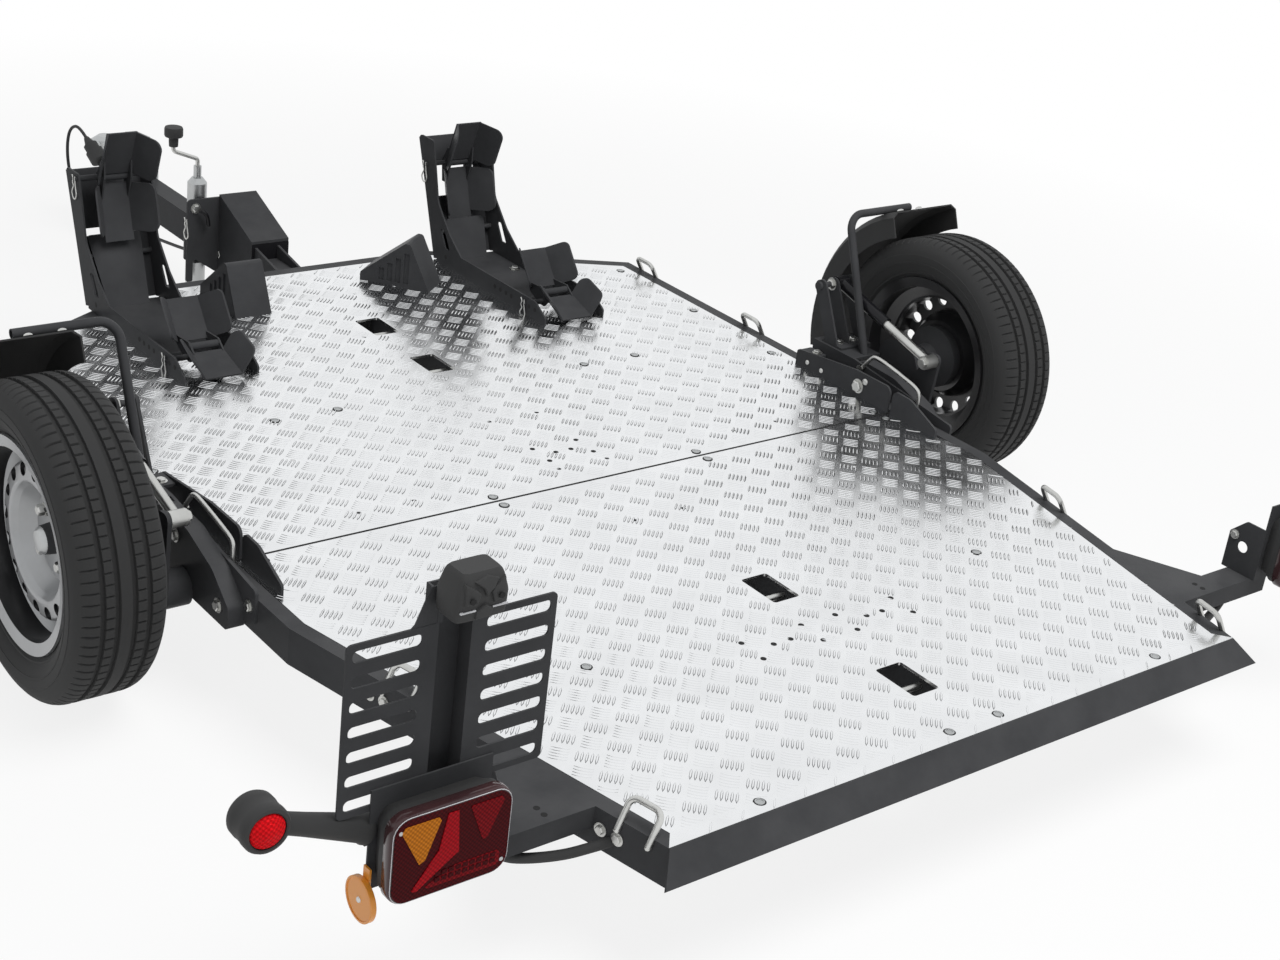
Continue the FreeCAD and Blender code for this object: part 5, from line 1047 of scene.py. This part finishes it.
def make_marker_lamps():
    """Red rear and clear front lenses on the marker lamps, their rubber rings and thick tapered stalks."""
    low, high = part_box("marker_lamps")
    centre_x, centre_z = high[0] - 0.032, high[2] - 0.032
    middle_y = (low[1] + high[1]) / 2
    red, clear, rubber = bmesh.new(), bmesh.new(), bmesh.new()
    for side in (-1, 1):
        back = Vector((side * centre_x, low[1], centre_z))
        front = Vector((side * centre_x, high[1], centre_z))
        lathe(red, MARKER_DOME, facing(back, -Y_AXIS), 36)
        lathe(clear, MARKER_DOME, facing(front, Y_AXIS), 36)
        lathe(rubber, MARKER_RING, facing(back, -Y_AXIS), 40, closed=True)
        start = Vector((side * (LAMP_BOX[1] - 0.004), middle_y, centre_z - 0.062))
        way = Vector((side * (centre_x - 0.026), middle_y, centre_z - 0.010)) - start
        stem = [(0.0215, 0.0), (0.0215, 0.006), (0.0195, 0.010), (0.0180, 0.3 * way.length),
                (0.0155, 0.7 * way.length), (0.0145, way.length)]
        lathe(rubber, stem, facing(start, way), 28)
    piece("marker_red_lenses", red, "bright_red_lens")
    piece("marker_clear_lenses", clear, "clear_lens")
    piece("marker_rubber", rubber, "black_plastic")


def make_reflector_rivets():
    """A rivet and a raised rim on each side reflector."""
    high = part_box("side_reflectors")[1]
    rivets = bmesh.new()
    rims = bmesh.new()
    for side in (-1, 1):
        out = Vector((side, 0, 0))
        place = at(side * high[0], 0.120, 0.214)
        dome_head(rivets, place, out, 0.0045, 0.003)
        rim = [(0.0325, -0.0065), (0.0325, 0.0008), (0.0295, 0.0012), (0.0290, -0.0005)]
        lathe(rims, rim, facing(place, out), 40)
    piece("reflector_rivets", rivets, "zinc")
    piece("reflector_rims", rims, "amber_lens")


CONDUIT = ((0.815, 0.150, 0.190), (0.800, 0.146, 0.176), (0.765, 0.138, 0.166), (0.715, 0.120, 0.166),
           (0.680, 0.105, 0.176), (0.640, 0.095, 0.182))


def make_bracket_details():
    """Bolts of the lamp brackets and the ribbed conduit under each lamp arm."""
    bm = bmesh.new()
    for side in (-1, 1):
        back = Vector((-side, 0, 0))
        hex_bolt(bm, at(side * 0.852, 0.183, 0.292), back, 0.0070)
        for x, z in ((0.885, 0.352), (1.000, 0.352), (0.885, 0.262), (1.000, 0.262)):
            hex_bolt(bm, at(side * x, 0.125, z), Y_AXIS, 0.0078)
    piece("lamp_bracket_bolts", bm, "zinc")
    routes = [[at(side * x, y, z) for x, y, z in CONDUIT] for side in (-1, 1)]
    wire("lamp_conduits", routes, 0.0080, "black_plastic")


# Chocks

CHOCK_X = 0.435
CHOCK_HALF = 0.082
TOWER_Y, TOWER_LEAN, TOWER_HEIGHT = 2.125, 0.100, 0.277
# The webs, with their heights as shares of the tower's
WEB_HALF, WEB_GAP, WEB_DEPTH = CHOCK_HALF - 0.0035, 0.058, 0.002
WEB_SPLIT = 0.49
WEB_TOPS = {-1: 0.56, 1: 0.97}
RAIL_HOLES = (1.870, 1.848, 1.826, 1.804, 1.735, 1.712, 2.075)


def make_rail_holes():
    """Painted shade as dark discs for the row of adjusting holes along both rails of each chock."""
    bm = bmesh.new()
    for side in (-1, 1):
        for rail in (-1, 1):
            x = side * CHOCK_X + rail * (CHOCK_HALF + 0.0002)
            for y in RAIL_HOLES:
                place = facing(at(x, y, DECK_TOP + 0.021), Vector((rail, 0, 0)))
                lathe(bm, [(0.005, 0.0), (0.005, 0.0002)], place, 20)
    piece("chock_rail_hole_shades", bm, "hole_painted_shade")


def clip_route(x, y, z, out):
    """A spring clip hung through a pin's end: its straight leg, its round loop and its waved leg."""
    shape = ((-0.003, 0.016), (-0.004, 0.002), (-0.008, -0.012), (-0.012, -0.023), (0.000, -0.036), (0.012, -0.023),
             (0.008, -0.012), (0.002, -0.005), (0.009, 0.003), (0.003, 0.010), (0.010, 0.017))
    return [at(x, y + a, z + b) + out * 0.003 for a, b in shape]


def make_clips():
    """Spring clips on the pins of the jaws and the cradles."""
    routes = []
    for side, (jaw_y, jaw_z) in ((-1, (2.1715, 0.4877)), (1, (2.1835, 0.4377))):
        out = Vector((-1, 0, 0))
        x = side * CHOCK_X - CHOCK_HALF - 0.001
        routes.append(clip_route(x, jaw_y, jaw_z - 0.010, out))
        routes.append(clip_route(x, 1.752, 0.240, out))
    wire("spring_clips", routes, 0.0015, "zinc")


def make_chock_bolts():
    """Bolts that hold the chocks to the deck."""
    bm = bmesh.new()
    for side in (-1, 1):
        for dx in (-0.057, 0.057):
            hex_bolt(bm, at(side * CHOCK_X + dx, 1.989, 0.227), Z_AXIS, 0.0095)
    piece("chock_bolts", bm, "zinc")


def make_chock_webs():
    """The thin webs that close the leaning tower of each chock below and beside its plates."""
    bm = bmesh.new()
    for side in (-1, 1):
        top = WEB_TOPS[side]
        for x0, x1, low, high in ((-WEB_HALF, WEB_HALF, 0.01, WEB_SPLIT), (-WEB_HALF, -WEB_GAP, WEB_SPLIT, top),
                                  (WEB_GAP, WEB_HALF, WEB_SPLIT, top)):
            spots = ((x0, low), (x1, low), (x1, high), (x0, high))
            corners = [at(side * CHOCK_X + x, TOWER_Y + TOWER_LEAN * share, DECK_TOP + TOWER_HEIGHT * share)
                       for x, share in spots]
            skin(bm, [corners, [c + WEB_DEPTH * Y_AXIS for c in corners]])
    piece("chock_back_webs", bm, "dark_paint")


# Settings, operators and panel

class TrailerColours(bpy.types.PropertyGroup):
    """Colours of the finishes."""
    frame_paint: bpy.props.FloatVectorProperty(name="Frame paint", description="Dark powder coat", subtype="COLOR",
                                               default=(0.050, 0.0507, 0.053), min=0.0, max=1.0)
    deck: bpy.props.FloatVectorProperty(name="Deck metal", description="Bare aluminium of the deck plates",
                                        subtype="COLOR", default=(0.87, 0.875, 0.88), min=0.0, max=1.0)
    wheel: bpy.props.FloatVectorProperty(name="Wheel paint", description="Silver paint of the wheels",
                                         subtype="COLOR", default=(0.425, 0.4312, 0.4375), min=0.0, max=1.0)
    rubber: bpy.props.FloatVectorProperty(name="Tyre rubber", description="Rubber of the tyres", subtype="COLOR",
                                          default=(0.0048, 0.0048, 0.0053), min=0.0, max=1.0)


class TrailerDeck(bpy.types.PropertyGroup):
    """Sizes of the tread pattern."""
    bar_length: bpy.props.FloatProperty(name="Bar length", description="Length of one raised bar", default=0.030,
                                        unit="LENGTH")
    bar_width: bpy.props.FloatProperty(name="Bar width", description="Width of one raised bar", default=0.0042,
                                       unit="LENGTH")
    bar_height: bpy.props.FloatProperty(name="Bar height", description="Height of one raised bar", default=0.0014,
                                        unit="LENGTH")
    bar_spacing: bpy.props.FloatProperty(name="Bar spacing", description="Distance between bars of one group",
                                         default=0.0075, unit="LENGTH")


class TrailerWheels(bpy.types.PropertyGroup):
    """Sizes of the tyre pattern."""
    tread_blocks: bpy.props.IntProperty(name="Tread blocks", description="Number of blocks round the tyre",
                                        default=88, min=12, max=110)


class TrailerStage(bpy.types.PropertyGroup):
    """Floor and light."""
    floor_size: bpy.props.FloatProperty(name="Floor size", description="Side of the floor", default=40.0,
                                        unit="LENGTH")
    floor_glow: bpy.props.FloatProperty(name="Floor white",
                                        description="Share of plain white in the floor near the trailer",
                                        default=0.84, min=0.0, max=1.0)
    sky_strength: bpy.props.FloatProperty(name="Sky strength", description="Strength of the soft sky", default=0.25)
    lamp_power: bpy.props.FloatProperty(name="Lamp power", description="Power of the overhead lamp", default=160.0,
                                        unit="POWER")


class StageOperator(bpy.types.Operator):
    """Sets up the camera, the floor and the light"""
    bl_idname = "trailer.stage"
    bl_label = "Camera, floor and light"

    def execute(self, context):
        make_camera()
        make_floor(context.scene.trailer_stage)
        make_light(context.scene.trailer_stage)
        context.scene.view_settings.view_transform = "Standard"
        return {"FINISHED"}


class FinishOperator(bpy.types.Operator):
    """Makes the finishes and gives them to the frame"""
    bl_idname = "trailer.finishes"
    bl_label = "Finishes"

    def execute(self, context):
        make_finishes(context.scene.trailer_colours)
        dress_nodes()
        return {"FINISHED"}


class CableOperator(bpy.types.Operator):
    """Hangs the supply cable"""
    bl_idname = "trailer.cable"
    bl_label = "Supply cable"

    def execute(self, context):
        make_supply_cable()
        return {"FINISHED"}


class DeckOperator(bpy.types.Operator):
    """Adds the tread pattern and the deck's screws"""
    bl_idname = "trailer.deck"
    bl_label = "Deck"

    def execute(self, context):
        make_tread(context.scene.trailer_deck)
        make_deck_screws()
        return {"FINISHED"}


class FrameOperator(bpy.types.Operator):
    """Adds the bolts of the frame and the lashing eyes"""
    bl_idname = "trailer.frame_fittings"
    bl_label = "Frame fittings"

    def execute(self, context):
        make_eye_screws()
        make_gusset_holes()
        return {"FINISHED"}


class SuspensionOperator(bpy.types.Operator):
    """Adds the fittings of the wheel brackets, arms and mudguards"""
    bl_idname = "trailer.suspension"
    bl_label = "Suspension fittings"

    def execute(self, context):
        make_bracket_bolts()
        make_lock_rods()
        make_arm_fittings()
        make_guard_bolts()
        return {"FINISHED"}


class WheelOperator(bpy.types.Operator):
    """Adds the tyres, wheel bolts, valves and hub caps"""
    bl_idname = "trailer.wheels"
    bl_label = "Wheels"

    def execute(self, context):
        for name, side in SIDES:
            make_tyre(name, side, context.scene.trailer_wheels)
            make_wheel_fittings(name, side)
        return {"FINISHED"}


class DrawbarOperator(bpy.types.Operator):
    """Adds the fittings of the jack and the drawbar"""
    bl_idname = "trailer.drawbar"
    bl_label = "Drawbar fittings"

    def execute(self, context):
        make_jack_fittings()
        make_drawbar_bolts()
        return {"FINISHED"}


class LampOperator(bpy.types.Operator):
    """Adds the lenses and fittings of the lamps"""
    bl_idname = "trailer.lamps"
    bl_label = "Lamps"

    def execute(self, context):
        make_tail_lamp_bodies()
        make_tail_lamp_lenses()
        make_plate_lamp()
        make_marker_lamps()
        make_reflector_rivets()
        make_bracket_details()
        return {"FINISHED"}


class ChockOperator(bpy.types.Operator):
    """Adds the holes, clips, bolts and webs of the wheel chocks"""
    bl_idname = "trailer.chocks"
    bl_label = "Chock fittings"

    def execute(self, context):
        make_rail_holes()
        make_clips()
        make_chock_bolts()
        make_chock_webs()
        return {"FINISHED"}


OPERATORS = (StageOperator, FinishOperator, CableOperator, DeckOperator, FrameOperator, SuspensionOperator,
             WheelOperator, DrawbarOperator, LampOperator, ChockOperator)


class TrailerPanel(bpy.types.Panel):
    """Lists the trailer's steps and settings"""
    bl_idname = "VIEW3D_PT_trailer"
    bl_label = "Motorcycle trailer"
    bl_space_type = "VIEW_3D"
    bl_region_type = "UI"
    bl_category = "Trailer"

    def draw(self, context):
        for operator in OPERATORS:
            self.layout.operator(operator.bl_idname)
        for label, settings in GROUPS:
            for name in settings.__annotations__:
                self.layout.prop(getattr(context.scene, label), name)


GROUPS = (("trailer_colours", TrailerColours), ("trailer_deck", TrailerDeck), ("trailer_wheels", TrailerWheels),
          ("trailer_stage", TrailerStage))


def register():
    """Registers the settings, the operators and the panel."""
    for name, group in GROUPS:
        bpy.utils.register_class(group)
        setattr(bpy.types.Scene, name, bpy.props.PointerProperty(type=group))
    for operator in OPERATORS:
        bpy.utils.register_class(operator)
    bpy.utils.register_class(TrailerPanel)


def unregister():
    """Takes everything out again."""
    bpy.utils.unregister_class(TrailerPanel)
    for operator in reversed(OPERATORS):
        bpy.utils.unregister_class(operator)
    for name, group in reversed(GROUPS):
        delattr(bpy.types.Scene, name)
        bpy.utils.unregister_class(group)


def main():
    """Builds the dressed trailer."""
    register()
    for operator in OPERATORS:
        getattr(bpy.ops.trailer, operator.bl_idname.split(".")[1])()
    bpy.context.view_layer.update()


if __name__ == "__main__":
    main()
